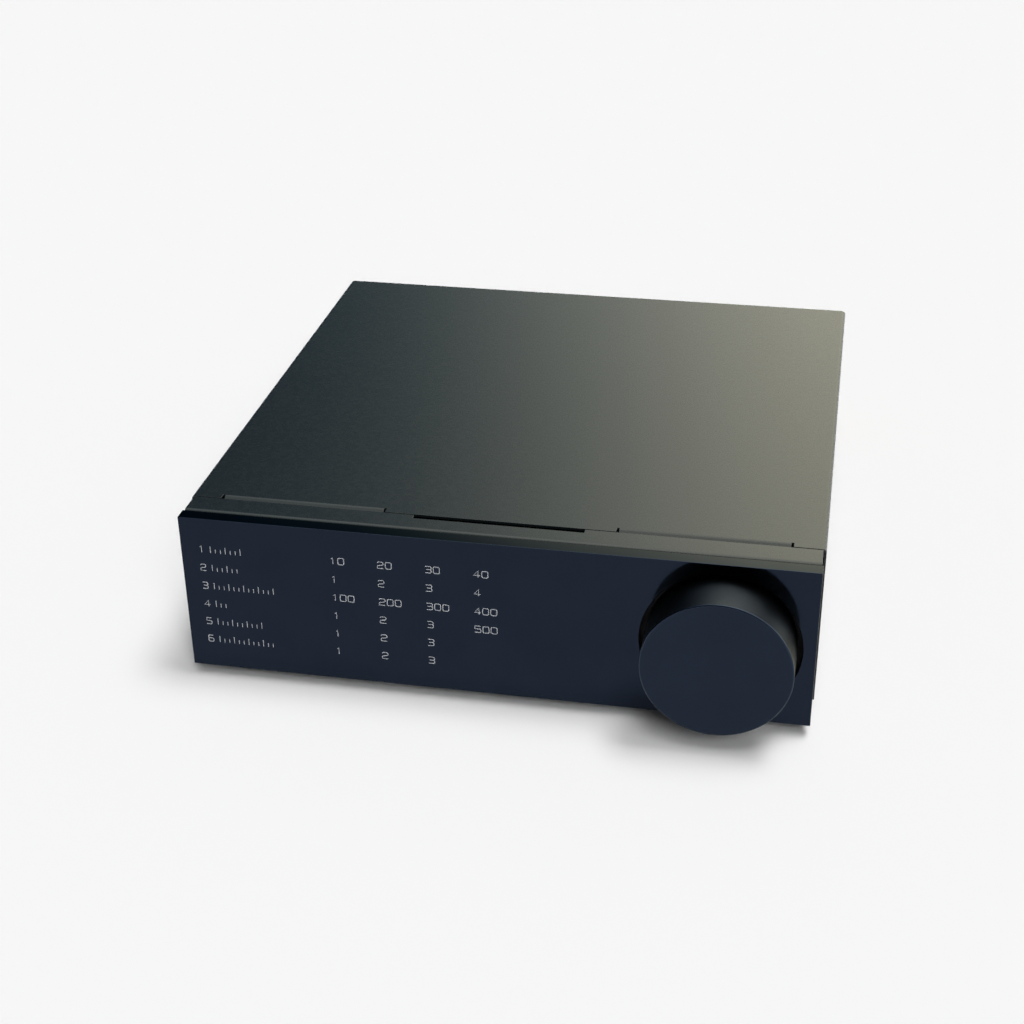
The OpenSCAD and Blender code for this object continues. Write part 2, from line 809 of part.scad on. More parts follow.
module op_amps() color([0.06, 0.06, 0.06]) {
    for (p = dip_places) translate([p[0], p[1], main_top]) cube(dip_box);
}

// Open-bottomed steel can over the two cartridge input stages
module input_shield_can() color([0.75, 0.76, 0.77]) {
    translate([can_x, can_y, main_top]) difference() {
        cube(can_box);
        translate([can_t, can_t, -1]) cube(can_box - [2 * can_t, 2 * can_t, can_t - 1]);
    }
}

// ---------- power supply ----------

module supply_board() color([0.05, 0.22, 0.13]) {
    difference() {
        block([supply_x0, supply_y0, supply_z], [supply_x1, supply_y1, supply_top]);
        for (p = supply_holes) translate([p[0], p[1], supply_z - 1]) cylinder(r = m3_clear_r, h = 4);
    }
}

module heatsink() color([0.2, 0.2, 0.21]) {
    x0 = (supply_x0 + supply_x1) / 2 - sink_w / 2;
    pitch = (sink_w - sink_fin_t) / (sink_fins - 1);
    translate([x0, sink_y, supply_top]) linear_extrude(sink_h) {
        square([sink_w, sink_t]);
        for (i = [0:sink_fins - 1]) translate([i * pitch, sink_t]) square([sink_fin_t, sink_fin_l]);
    }
}

module regulators() color([0.08, 0.08, 0.08]) {
    xc = (supply_x0 + supply_x1) / 2;
    for (i = [-1:1]) translate([xc + i * reg_dx, sink_y - reg_t, supply_top]) {
        translate([-reg_w / 2, 0, reg_leg_h]) cube([reg_w, reg_t, reg_h]);
        for (j = [-1:1]) {
            translate([j * reg_leg_pitch - reg_leg_w / 2, (reg_t - reg_leg_t) / 2, 0])
                cube([reg_leg_w, reg_leg_t, reg_leg_h]);
        }
    }
}

// Wound ring core, profile with rounded edges turned about the bolt
module mains_transformer() color([0.72, 0.6, 0.2]) {
    z0 = floor_z + pad_t;
    e = toroid_edge;
    translate([toroid_x, toroid_y, z0]) rotate_extrude($fn = 64) polygon(concat(
        arc([toroid_r - e, e], e, -90, 0), arc([toroid_r - e, toroid_h - e], e, 0, 90),
        arc([toroid_hole_r + e, toroid_h - e], e, 90, 180), arc([toroid_hole_r + e, e], e, 180, 270)
    ));
}

module transformer_pads() color([0.08, 0.08, 0.08]) {
    for (z = [floor_z, floor_z + pad_t + toroid_h]) {
        translate([toroid_x, toroid_y, z]) difference() {
            cylinder(r = toroid_r - 3, h = pad_t);
            translate([0, 0, -1]) cylinder(r = m5_hole_r, h = pad_t + 2);
        }
    }
}

module transformer_plate() color([0.75, 0.76, 0.77]) {
    translate([toroid_x, toroid_y, floor_z + 2 * pad_t + toroid_h]) difference() {
        cylinder(r = toroid_r - 5, h = clamp_t);
        translate([0, 0, -1]) cylinder(r = m5_hole_r, h = clamp_t + 2);
    }
}

module transformer_bolt() color([0.7, 0.7, 0.72]) {
    z_nut = floor_z + 2 * pad_t + toroid_h + clamp_t;
    translate([toroid_x, toroid_y, base_z - m5_head_h]) {
        cylinder(r = m5_head_r, h = m5_head_h);
        cylinder(r = m5_r, h = z_nut - base_z + m5_head_h + m5_nut_t + m5_tail);
    }
    translate([toroid_x, toroid_y, z_nut]) linear_extrude(m5_nut_t) hexagon(m5_nut_af);
}

// ---------- mains inlet and switch ----------

// Socket opening with its two bevelled upper corners
module iec_opening() {
    w = iec_w / 2;
    h = iec_h / 2;
    polygon([
        [-w, -h], [w, -h], [w, h - iec_corner],
        [w - iec_corner, h], [iec_corner - w, h], [-w, h - iec_corner]
    ]);
}

module mains_inlet() color([0.04, 0.04, 0.045]) {
    translate([inlet_x, 0, inlet_z]) difference() {
        union() {
            along_y(panel_y, panel_y + bezel_t) round_rect(bezel_w, bezel_h, bezel_r);
            along_y(panel_in_y - inlet_d, panel_y) square([inlet_w, inlet_h], center = true);
        }
        translate([0, 0, iec_dz]) along_y(panel_y + bezel_t - iec_d, panel_y + bezel_t + 1) iec_opening();
        translate([0, 0, drawer_dz]) along_y(panel_y - drawer_d, panel_y + bezel_t + 1)
            square([drawer_w + 2 * drawer_clear, drawer_h + 2 * drawer_clear], center = true);
        for (p = blade_places()) translate([p[0], 0, p[1]])
            along_y(panel_in_y - inlet_d - 1, panel_y) square([blade_t, blade_w], center = true);
    }
}

function blade_places() = [[-blade_dx, iec_dz - 2], [0, iec_dz + 3], [blade_dx, iec_dz - 2]];

module inlet_blades() color([0.85, 0.83, 0.78]) {
    y_root = panel_y + bezel_t - iec_d;
    for (p = blade_places()) translate([inlet_x + p[0], 0, inlet_z + p[1]])
        along_y(panel_in_y - inlet_d - blade_tail, y_root + blade_l)
            square([blade_t, blade_w], center = true);
}

// Drawer that holds the fuse across it, with a finger lip
module fuse_drawer() color([0.05, 0.05, 0.055]) {
    face_y = panel_y + bezel_t;
    translate([inlet_x, 0, inlet_z + drawer_dz]) difference() {
        along_y(panel_y - drawer_d + drawer_clear, face_y + drawer_lip)
            square([drawer_w, drawer_h], center = true);
        block([-fuse_l / 2 - 0.2, fuse_y - fuse_bay_w / 2, fuse_floor_z],
              [fuse_l / 2 + 0.2, fuse_y + fuse_bay_w / 2, drawer_h]);
        block([-grip_w / 2, face_y, -drawer_h / 2 - 1],
              [grip_w / 2, face_y + drawer_lip + 1, -drawer_h / 2 + grip_h]);
    }
}

module fuse() color([0.85, 0.85, 0.85]) {
    translate([inlet_x - fuse_l / 2, fuse_y, inlet_z + drawer_dz + fuse_floor_z + fuse_r])
        rotate([0, 90, 0]) cylinder(r = fuse_r, h = fuse_l);
}

module power_switch_frame() color([0.04, 0.04, 0.045]) {
    open_w = rocker_w + 2 * rocker_gap;
    translate([switch_x, 0, inlet_z]) difference() {
        union() {
            along_y(panel_y, panel_y + switch_bezel_t)
                round_rect(switch_bezel_w, switch_bezel_h, switch_bezel_r);
            along_y(panel_in_y - switch_d, panel_y) square([switch_w, switch_h], center = true);
        }
        along_y(rocker_y - 6, panel_y + switch_bezel_t + 1) square([open_w, rocker_open_h], center = true);
        translate([-switch_w / 2 - 1, rocker_y, 0]) rotate([0, 90, 0])
            cylinder(r = pivot_r + 0.05, h = switch_w + 2);
    }
}

// Rocker seen from the side, in Y and Z round its pivot
rocker_outline = [
    [-3.6, -3], [1.5, -7.6], [pivot_depth + 1.1, -7], [pivot_depth - 0.1, 0],
    [pivot_depth + 1.1, 7], [1.5, 7.6], [-3.6, 3]
];

module power_rocker() color([0.06, 0.06, 0.065]) {
    translate([switch_x, rocker_y, inlet_z]) rotate([-rocker_tilt, 0, 0]) {
        along_x(-rocker_w / 2, rocker_w / 2) polygon(rocker_outline);
        translate([-rocker_w / 2 - pivot_l, 0, 0]) rotate([0, 90, 0])
            cylinder(r = pivot_r, h = rocker_w + 2 * pivot_l);
    }
}

// One insulated lead: round bar between points, with a slightly fuller ball at each bend
module lead(points, r) {
    for (i = [0:len(points) - 2]) {
        a = points[i];
        v = points[i + 1] - a;
        l = norm(v);
        translate(a) rotate([0, acos(v[2] / l), atan2(v[1], v[0])]) cylinder(r = r, h = l);
    }
    for (i = [1:len(points) - 2]) translate(points[i]) sphere(r + lead_bend_extra);
}

module mains_leads() color([0.35, 0.2, 0.1]) {
    y_lug = panel_in_y - inlet_d - blade_tail;
    y_switch = panel_in_y - switch_d - tag_l;
    for (i = [0, 1]) {
        s = 2 * i - 1;
        y_run = y_lug - 5 - 4 * i;
        z_in = inlet_z + blade_places()[2 * i][1];
        z_sw = inlet_z + 1 + 4 * s;
        x_in = inlet_x + s * blade_dx;
        x_sw = switch_x + 3 * s;
        z_run = z_in - 5 + 5 * i;
        lead([
            [x_in, y_lug, z_in], [x_in, y_lug - lead_straight, z_in], [x_in, y_run, z_run],
            [x_sw, y_run, z_sw], [x_sw, y_switch, z_sw]
        ], lead_r);
        // Crimped tag on the switch
        translate([x_sw, 0, z_sw])
            along_y(y_switch - 1, panel_in_y - switch_d) square([tag_t, tag_w], center = true);
    }
}

// ---------- phono sockets ----------

function rca_places() = [for (x = [rca_out_x, rca_in_x], z = rca_z) [x, base_z + z]];
rca_seat_y = panel_y + rca_collar_t;
rca_tip_y = rca_seat_y + rca_flange_t + rca_l;

module rca_shells() color([0.83, 0.68, 0.3]) {
    for (p = rca_places()) difference() {
        union() {
            rod_y(p[0], p[1], rca_thread_r, panel_in_y - rca_thread_l, rca_seat_y);
            rod_y(p[0], p[1], rca_flange_r, rca_seat_y, rca_seat_y + rca_flange_t);
            rod_y(p[0], p[1], rca_r, rca_seat_y + rca_flange_t, rca_tip_y);
        }
        rod_y(p[0], p[1], rca_bore_r, panel_in_y - rca_thread_l - 1, rca_tip_y + 1);
    }
}

module rca_inserts() color([0.93, 0.93, 0.9]) {
    for (p = rca_places()) difference() {
        rod_y(p[0], p[1], rca_bore_r - fit_gap, panel_in_y - rca_thread_l, rca_tip_y - 0.8);
        rod_y(p[0], p[1], rca_contact_r + fit_gap, panel_in_y - rca_thread_l - 1, rca_tip_y + 1);
    }
}

module rca_contacts() color([0.83, 0.68, 0.3]) {
    for (p = rca_places()) difference() {
        rod_y(p[0], p[1], rca_contact_r, panel_in_y - rca_thread_l - 4, rca_tip_y - 1);
        rod_y(p[0], p[1], rca_contact_bore_r, rca_tip_y - 10, rca_tip_y + 1);
    }
}

module rca_collar(x, z) {
    difference() {
        rod_y(x, z, rca_collar_r, panel_y, rca_seat_y);
        rod_y(x, z, rca_thread_r + fit_gap, panel_y - 1, rca_seat_y + 1);
    }
}

module rca_collars_white() color([0.93, 0.93, 0.92]) {
    for (x = [rca_out_x, rca_in_x]) rca_collar(x, base_z + rca_z[0]);
}

module rca_collars_red() color([0.75, 0.06, 0.05]) {
    for (x = [rca_out_x, rca_in_x]) rca_collar(x, base_z + rca_z[1]);
}

module rca_nuts() color([0.83, 0.68, 0.3]) {
    for (p = rca_places()) {
        translate([p[0], 0, p[1]]) along_y(panel_in_y - rca_nut_t, panel_in_y) difference() {
            hexagon(rca_nut_af);
            circle(rca_thread_r + fit_gap);
        }
    }
}

// ---------- balanced sockets ----------

xlr_face_y = panel_y + xlr_flange_t;
function is_input(i) = i > 1;
function pin_side(i) = is_input(i) ? 1 : -1;
function pin_places(i) =
    [for (a = [150, 30, 270]) [pin_side(i) * xlr_pin_pcd_r * cos(a), -xlr_pin_pcd_r * sin(a)]];

module xlr_housings() color([0.2, 0.2, 0.21]) {
    for (i = [0:3]) translate([xlr_x[i], 0, base_z + socket_z]) difference() {
        union() {
            along_y(panel_y, xlr_face_y) round_rect(xlr_flange_w, xlr_flange_h, xlr_flange_r);
            rod_y(0, 0, xlr_body_r, panel_in_y - xlr_body_l, panel_y);
        }
        rod_y(0, 0, xlr_bore_r, panel_in_y - xlr_body_l + xlr_floor_t, xlr_face_y + 1);
        for (s = [-1, 1]) {
            rod_y(s * xlr_screw_dx, s * xlr_screw_dz, m3_clear_r, panel_y - 1, xlr_face_y + 1);
        }
        if (is_input(i)) {
            block([-latch_w / 2 - latch_gap, panel_y + latch_back, latch_slot_z],
                  [latch_w / 2 + latch_gap, xlr_face_y + 1, latch_slot_z + latch_slot_h]);
        }
        for (p = pin_places(i)) {
            rod_y(p[0], p[1], xlr_pin_r + fit_gap, panel_in_y - xlr_body_l - 1, panel_in_y - xlr_body_l + 5);
        }
    }
}

// Inputs: round block with three contact holes. Outputs: disc that carries the pins
module xlr_inserts() color([0.05, 0.05, 0.055]) {
    y0 = panel_in_y - xlr_body_l + xlr_floor_t;
    for (i = [0:3]) translate([xlr_x[i], 0, base_z + socket_z]) difference() {
        if (is_input(i)) rod_y(0, 0, xlr_insert_r, y0, xlr_face_y - xlr_insert_back);
        else rod_y(0, 0, xlr_bore_r - fit_gap, y0, y0 + xlr_disc_t);
        for (p = pin_places(i)) {
            rod_y(p[0], p[1], xlr_pin_r + fit_gap, y0 - 1, y0 + xlr_tail_l + 1);
            if (is_input(i)) rod_y(p[0], p[1], xlr_socket_r, y0 + xlr_tail_l, xlr_face_y);
        }
    }
}

// Outputs: three pins. Inputs: three contact tails and sockets behind the block's holes
module xlr_pins() color([0.85, 0.8, 0.6]) {
    y0 = panel_in_y - xlr_body_l;
    for (i = [0:3], p = pin_places(i)) translate([xlr_x[i], 0, base_z + socket_z]) {
        reach = is_input(i) ? xlr_tail_l : xlr_disc_t + xlr_pin_l;
        rod_y(p[0], p[1], xlr_pin_r, y0 - 4, y0 + xlr_floor_t + reach);
    }
}

module xlr_screws() color([0.12, 0.12, 0.12]) {
    for (x = xlr_x, s = [-1, 1]) {
        translate([x + s * xlr_screw_dx, xlr_face_y, base_z + socket_z + s * xlr_screw_dz])
            rotate([-90, 0, 0]) pan_screw(xlr_flange_t + panel_t + 3);
    }
}

// Push tab above an input socket; it slides down to free the plug
module xlr_latch(x) {
    z1 = base_z + socket_z + latch_slot_z + latch_slot_h - latch_gap;
    color([0.7, 0.7, 0.71]) difference() {
        block([x - latch_w / 2, panel_y + latch_back + 0.1, z1 - latch_h],
              [x + latch_w / 2, xlr_face_y + latch_proud, z1]);
        // Shallow dish for the fingertip
        translate([x, 0, z1 - latch_h / 2])
            along_y(xlr_face_y + latch_proud - latch_dish_d, xlr_face_y + latch_proud + 1)
            square([latch_w - 2 * latch_rim, latch_h - 2 * latch_rim], center = true);
    }
}

module xlr_latch_left() {
    xlr_latch(xlr_x[2]);
}

module xlr_latch_right() {
    xlr_latch(xlr_x[3]);
}

// ---------- ground post ----------

ground_z = base_z + socket_z;
post_seat_y = panel_y + post_collar_t;

module ground_post() color([0.83, 0.68, 0.3]) {
    rod_y(ground_x, ground_z, post_r, panel_in_y - 6, rear_y + post_proud);
    rod_y(ground_x, ground_z, post_collar_r, panel_y, post_seat_y);
    translate([ground_x, 0, ground_z]) along_y(panel_in_y - post_back_t, panel_in_y) hexagon(post_back_af);
}

module ground_washer() color([0.8, 0.8, 0.78]) {
    difference() {
        rod_y(ground_x, ground_z, post_washer_r, post_seat_y, post_seat_y + post_washer_t);
        rod_y(ground_x, ground_z, post_r + 0.08, post_seat_y - 1, post_seat_y + post_washer_t + 1);
    }
}

// Knurled nut: grooves round the rim, and a plain shoulder in front
module ground_thumb_nut() color([0.83, 0.68, 0.3]) {
    y0 = post_seat_y + post_washer_t;
    difference() {
        union() {
            rod_y(ground_x, ground_z, post_nut_r, y0, y0 + post_nut_t - post_shoulder_l);
            rod_y(ground_x, ground_z, post_nut_r - 1, y0, y0 + post_nut_t);
        }
        rod_y(ground_x, ground_z, post_r + 0.05, y0 - 1, y0 + post_nut_t + 1);
        for (i = [0:post_knurls - 1]) {
            a = i * 360 / post_knurls;
            rod_y(ground_x + post_nut_r * cos(a), ground_z + post_nut_r * sin(a), post_groove_r,
                  y0 - 1, y0 + post_nut_t + 1);
        }
    }
}

front_plate();
base_tray();
top_cover();
rear_panel();
front_plate_screws();
cover_screws();
rear_panel_screws();
feet();
foot_screws();
knob();
knob_set_screw();
encoder_shaft();
encoder_plunger();
encoder_body();
encoder_washer();
encoder_nut();
control_board();
control_board_studs();
control_board_screws();
light_mask();
indicator_leds();
ribbon_cable();
main_board();
board_standoffs();
board_screws();
relays();
film_capacitors();
electrolytic_capacitors();
op_amps();
input_shield_can();
supply_board();
heatsink();
regulators();
mains_transformer();
transformer_pads();
transformer_plate();
transformer_bolt();
mains_inlet();
inlet_blades();
fuse_drawer();
fuse();
power_switch_frame();
power_rocker();
mains_leads();
rca_shells();
rca_inserts();
rca_contacts();
rca_collars_white();
rca_collars_red();
rca_nuts();
xlr_housings();
xlr_inserts();
xlr_pins();
xlr_screws();
xlr_latch_left();
xlr_latch_right();
ground_post();
ground_washer();
ground_thumb_nut();
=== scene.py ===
import json
import math

import bpy
from bpy.props import FloatProperty, FloatVectorProperty, IntProperty, PointerProperty
from bpy.types import Operator, Panel, PropertyGroup
from mathutils import Matrix, Vector

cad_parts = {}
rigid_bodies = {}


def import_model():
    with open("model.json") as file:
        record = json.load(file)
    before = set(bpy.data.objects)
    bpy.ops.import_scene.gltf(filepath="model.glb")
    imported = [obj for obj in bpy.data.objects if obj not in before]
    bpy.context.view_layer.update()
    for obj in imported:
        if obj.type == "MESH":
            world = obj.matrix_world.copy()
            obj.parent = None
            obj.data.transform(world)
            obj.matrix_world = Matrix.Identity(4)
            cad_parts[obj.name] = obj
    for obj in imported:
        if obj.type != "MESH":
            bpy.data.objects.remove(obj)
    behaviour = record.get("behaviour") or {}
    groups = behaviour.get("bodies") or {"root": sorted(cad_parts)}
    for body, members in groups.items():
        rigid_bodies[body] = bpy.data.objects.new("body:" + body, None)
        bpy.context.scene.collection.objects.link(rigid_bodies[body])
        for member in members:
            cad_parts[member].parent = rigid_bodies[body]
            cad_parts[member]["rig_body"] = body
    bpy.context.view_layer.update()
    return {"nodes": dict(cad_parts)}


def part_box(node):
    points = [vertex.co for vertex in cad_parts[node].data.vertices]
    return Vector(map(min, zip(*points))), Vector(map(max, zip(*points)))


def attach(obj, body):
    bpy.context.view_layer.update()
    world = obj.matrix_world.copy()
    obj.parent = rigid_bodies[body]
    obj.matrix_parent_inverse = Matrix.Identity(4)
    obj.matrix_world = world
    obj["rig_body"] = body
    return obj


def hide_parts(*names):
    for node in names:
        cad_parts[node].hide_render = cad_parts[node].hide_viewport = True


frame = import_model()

bl_info = {
    "name": "Desktop Phono Preamp",
    "version": (1, 0, 0),
    "blender": (4, 5, 0),
    "location": "View3D > Sidebar > Preamp",
    "description": "Finishes, printed legends and small parts of a desktop phono preamp",
    "category": "Object",
}

MM = 0.001
NODES = frame["nodes"]
SLOT_OF = {name: part.data.materials[0].name for name, part in NODES.items()}

# Directions that a part made upright is turned to
UP = Matrix.Identity(4)
REARWARD = Matrix.Rotation(math.radians(-90), 4, "X")
DOWNWARD = Matrix.Rotation(math.radians(180), 4, "X")

PLATE_LOW, PLATE_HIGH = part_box("front_plate")

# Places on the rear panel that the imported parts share, and height of a screw's head, in millimetres
REAR_SCREWS_X = (-80, 0, 80)
PHONO_X = (-40, 88)
PHONO_Z = (45.5, 21.5)
BALANCED_X = (-18.5, 9.2, 36.9, 64.6)
SOCKET_Z = 33.5
PANEL_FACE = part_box("rear_panel")[1].y / MM
HEAD_RISE = 1.8

# Points nearer than these merge, in metres
MERGE_TURNED = 0.000001
MERGE_PACKED = 0.000002
# Faces that meet flatter than these become one face, or shade as one
ONE_FACE = math.radians(0.5)
ONE_SHADE = math.radians(35)


# ---------- sizes and colours a user would change ----------


def size(name, text, value):
    """A length setting in metres, given in millimetres."""
    return FloatProperty(
        name=name, description=text, default=value * MM, unit="LENGTH", subtype="DISTANCE", precision=5,
    )


def colour(name, text, value):
    """A colour setting, given as it shows on a display, from 0 to 255."""
    return FloatVectorProperty(
        name=name, description=text, subtype="COLOR", size=3, min=0, max=1, default=display(value),
    )


def share(name, text, value, high=1.0):
    """A setting that is a plain share, such as roughness."""
    return FloatProperty(name=name, description=text, default=value, min=0, max=high, subtype="FACTOR")


def angle(name, text, value):
    """An angle setting, given in degrees."""
    return FloatProperty(name=name, description=text, default=math.radians(value), subtype="ANGLE")


def display(value):
    """Light levels of a colour that is given as it shows on a display, from 0 to 255."""
    levels = [v / 255 for v in value]
    return [v / 12.92 if v <= 0.04045 else ((v + 0.055) / 1.055) ** 2.4 for v in levels]


class CaseSettings(PropertyGroup):
    edge: size("Sheared edge", "Rounding of cut sheet edges", 0.12)
    paint: colour("Paint", "Satin paint of cover and tray", (21, 27, 29))
    paint_roughness: share("Paint roughness", "Roughness of the satin paint", 0.27)
    panel: colour("Rear panel", "Paint of the rear panel", (32, 33, 34))
    foot_radius: size("Foot radius", "Radius of the round feet", 10)


class FrontSettings(PropertyGroup):
    edge: size("Plate edge", "Chamfer round the plate and its hole", 0.2)
    anodised: colour("Anodised finish", "Tint of the anodised metal", (33, 40, 52))
    roughness: share("Anodised roughness", "Roughness of the anodised metal", 0.1)
    ink: colour("Ink", "Printed legends", (170, 173, 178))
    cap_height: size("Figure height", "Height of the printed figures", 2.55)
    figure_width: size("Figure width", "Width of one printed figure", 2.1)
    figure_pitch: size("Figure pitch", "Distance from one figure to the next", 2.85)
    line: size("Line width", "Width of the printed lines", 0.36)
    tick: size("Tick width", "Width of the label ticks", 0.26)
    ink_height: size("Ink height", "Thickness of the ink", 0.03)
    row_pitch: size("Row pitch", "Distance between the rows", 7.36)
    top_row: size("Top row", "Height of the top row above the plate's foot", 48.3)
    column_pitch: size("Column pitch", "Distance between the value columns", 16.8)
    first_column: size("First column", "Left edge of the first value column", -56.2)
    label_column: size("Label column", "Left edge of the row labels", -103.4)
    tick_pitch: size("Tick pitch", "Distance between the label ticks", 1.8)


class KnobSettings(PropertyGroup):
    edge: size("Knob edge", "Size of the chamfer round the knob's face", 0.5)
    groove_pitch: size("Groove pitch", "Distance between turning marks", 0.3)
    groove_depth: size("Groove depth", "Depth of the side's turning marks", 0.03)
    rougher: share("Extra roughness", "How much rougher than the plate", 0.14)
    # Lighter and less blue than the face, so that the side's highlight shows brighter: a painted sheen
    side: colour("Side tone", "Tint of the knob's turned side", (52, 57, 65))
    side_roughness: share("Side roughness", "Roughness of the knob's turned side", 0.3)
    steps: IntProperty(name="Steps", description="Faces round the knob", default=160, min=48, max=256)


class RearSettings(PropertyGroup):
    edge: size("Moulded edge", "Rounding of moulded and cast edges", 0.25)
    figure_height: size("Figure height", "Height of the printed figures", 2.2)
    line: size("Line width", "Width of the printed lines", 0.3)


class StageSettings(PropertyGroup):
    camera: FloatVectorProperty(
        name="Camera", description="Place of the camera", default=(0.10824, -0.60744, 0.35761), subtype="XYZ"
    )
    turn: angle("Turn", "Turn to the left", 11.46)
    tilt: angle("Tilt", "Tilt below the horizon", 28.9)
    roll: angle("Roll", "Roll about the view", -0.761)
    lens: FloatProperty(name="Lens", description="Focal length in millimetres", default=61.67, min=20, max=200)
    floor: colour("Floor", "Pale floor", (247, 247, 247))
    world: share("World light", "Strength of the even light", 0.1, high=2)
    suns: share("Sun light", "Light of the suns on the floor", 0.9, high=2)
    shell_radius: size("Shell radius", "Radius of the light shell", 4000)
    shell_light: FloatProperty(name="Shell light", description="Strength of the light shell", default=4, min=0)


GROUPS = {
    "preamp_case": CaseSettings, "preamp_front": FrontSettings, "preamp_knob": KnobSettings,
    "preamp_rear": RearSettings, "preamp_stage": StageSettings,
}


def settings(name):
    """One of the scene's setting groups."""
    return getattr(bpy.context.scene, "preamp_" + name)


# ---------- modelling helpers ----------


def activate(piece):
    bpy.ops.object.select_all(action="DESELECT")
    piece.select_set(True)
    bpy.context.view_layer.objects.active = piece


def edit(piece):
    activate(piece)
    bpy.ops.object.mode_set(mode="EDIT")
    bpy.ops.mesh.select_all(action="SELECT")


def leave_edit():
    bpy.ops.object.mode_set(mode="OBJECT")


def named(name):
    """The primitive that was just added, under its own name."""
    piece = bpy.context.object
    piece.name = name
    piece.data.name = name
    return piece


def bar(vertices, radius, depth, location=(0, 0, 0)):
    """An upright round or many-sided bar, sized in millimetres."""
    bpy.ops.mesh.primitive_cylinder_add(
        vertices=vertices, radius=radius * MM, depth=depth * MM, location=Vector(location) * MM
    )
    return bpy.context.object


def modified(piece, kind, **values):
    """Adds one modifier, sets it and applies it."""
    activate(piece)
    bpy.ops.object.modifier_add(type=kind)
    modifier = piece.modifiers[-1]
    for key, value in values.items():
        setattr(modifier, key, value)
    bpy.ops.object.modifier_apply(modifier=modifier.name)
    return piece


def three_slots(piece):
    """Empty slots for a piece's own finish, its rim's and one more."""
    piece.data.materials.clear()
    for i in range(3):
        piece.data.materials.append(None)


def eased(piece, width, angle=30, rim=False):
    """Rounds the edges that are sharper than an angle. A rim is kept apart as the second material."""
    if rim:
        three_slots(piece)
    return modified(
        piece, "BEVEL", width=width, segments=2, limit_method="ANGLE", material=1 if rim else -1,
        angle_limit=math.radians(angle), use_clamp_overlap=False,
    )


def moved(piece, place):
    """Puts a piece in its place and leaves the object itself at the origin."""
    activate(piece)
    piece.matrix_world = place @ piece.matrix_world
    bpy.ops.object.transform_apply(location=True, rotation=True, scale=True)
    return piece


def copied(master, name, place=UP):
    """A copy with its own mesh, put in its place."""
    piece = master.copy()
    piece.data = master.data.copy()
    piece.name = name
    piece.data.name = name
    bpy.context.scene.collection.objects.link(piece)
    return moved(piece, place)


def cut(piece, tool):
    """Takes a tool's shape out of a piece."""
    modified(piece, "BOOLEAN", operation="DIFFERENCE", object=tool, solver="EXACT")
    bpy.data.objects.remove(tool)
    return piece


def turned(name, profile, place=UP, steps=64):
    """A turned part: a ring that is extruded and scaled from point to point of its profile.

    The profile holds pairs of radius and height in millimetres. One that ends where it began leaves a bore.
    """
    points = [(radius * MM, height * MM) for radius, height in profile]
    radius, height = points[0]
    fill = "NOTHING" if points[0] == points[-1] else "NGON"
    bpy.ops.mesh.primitive_circle_add(vertices=steps, radius=radius, fill_type=fill, location=(0, 0, height))
    piece = named(name)
    edit(piece)
    for (r0, h0), (r1, h1) in zip(points, points[1:]):
        bpy.ops.mesh.extrude_region_move(TRANSFORM_OT_translate={"value": (0, 0, h1 - h0)})
        bpy.ops.transform.resize(value=(r1 / r0, r1 / r0, 1), center_override=(0, 0, h1))
    bpy.ops.mesh.select_all(action="SELECT")
    bpy.ops.mesh.remove_doubles(threshold=MERGE_TURNED)
    bpy.ops.mesh.normals_make_consistent(inside=False)
    leave_edit()
    return moved(piece, place)


def refined(source, name, edge, rim=False):
    """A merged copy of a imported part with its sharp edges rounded."""
    piece = copied(NODES[source], name)
    piece.parent = None
    for key in list(piece.keys()):
        del piece[key]
    piece.data.materials.clear()
    edit(piece)
    bpy.ops.mesh.customdata_custom_splitnormals_clear()
    bpy.ops.mesh.remove_doubles(threshold=MERGE_PACKED)
    bpy.ops.mesh.dissolve_limited(angle_limit=ONE_FACE)
    leave_edit()
    return eased(piece, edge, rim=rim)


def done(piece, source, others=(), look=None, replaces=True):
    """Smooths a piece, gives it its finishes and lets it ride with its node's body."""
    look = look or SLOT_OF[source]
    activate(piece)
    bpy.ops.object.shade_smooth_by_angle(angle=ONE_SHADE)
    modified(piece, "WEIGHTED_NORMAL", keep_sharp=True)
    indices = [face.material_index for face in piece.data.polygons]
    piece.data.materials.clear()
    for name in (look, *others):
        piece.data.materials.append(finish(name))
    if others:
        piece.data.polygons.foreach_set("material_index", indices)
    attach(piece, NODES[source]["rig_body"])
    if replaces:
        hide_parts(source)


def dressed(parts):
    """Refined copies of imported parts, each with a name and its share of the moulded edge."""
    for source, (name, part) in parts.items():
        done(refined(source, name, settings("rear").edge * part), source)


def spread(master, source, stem, places):
    """A copy of a master at each place, and the master taken away."""
    for i, place in enumerate(places):
        done(copied(master, f"{stem}_{i + 1}", place), source)
    bpy.data.objects.remove(master)


def at(x, y, z, turn=UP):
    """A place given in millimetres."""
    return Matrix.Translation(Vector((x, y, z)) * MM) @ turn


def extent(source):
    """Lower corner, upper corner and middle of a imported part's box, in millimetres."""
    low, high = (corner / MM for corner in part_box(source))
    return low, high, (low + high) / 2


# ---------- finishes ----------

# Part of a pattern's range that holds most of its values
PATTERN_LOW, PATTERN_HIGH = 0.3, 0.7


def node(tree, kind, inputs=None, **attributes):
    """A shader node with its attributes set and its inputs set or linked."""
    made = tree.nodes.new("ShaderNode" + kind)
    for key, value in attributes.items():
        setattr(made, key, value)
    for key, value in (inputs or {}).items():
        if isinstance(value, bpy.types.NodeSocket):
            tree.links.new(value, made.inputs[key])
        else:
            made.inputs[key].default_value = value
    return made


def maths(tree, operation, a, b):
    """The result of one sum on two values."""
    return node(tree, "Math", {0: a, 1: b}, operation=operation).outputs[0]


def mixed(tree, part, a, b):
    """A colour that goes from one colour to another."""
    return node(tree, "Mix", {0: part, 6: a, 7: b}, data_type="RGBA").outputs[2]


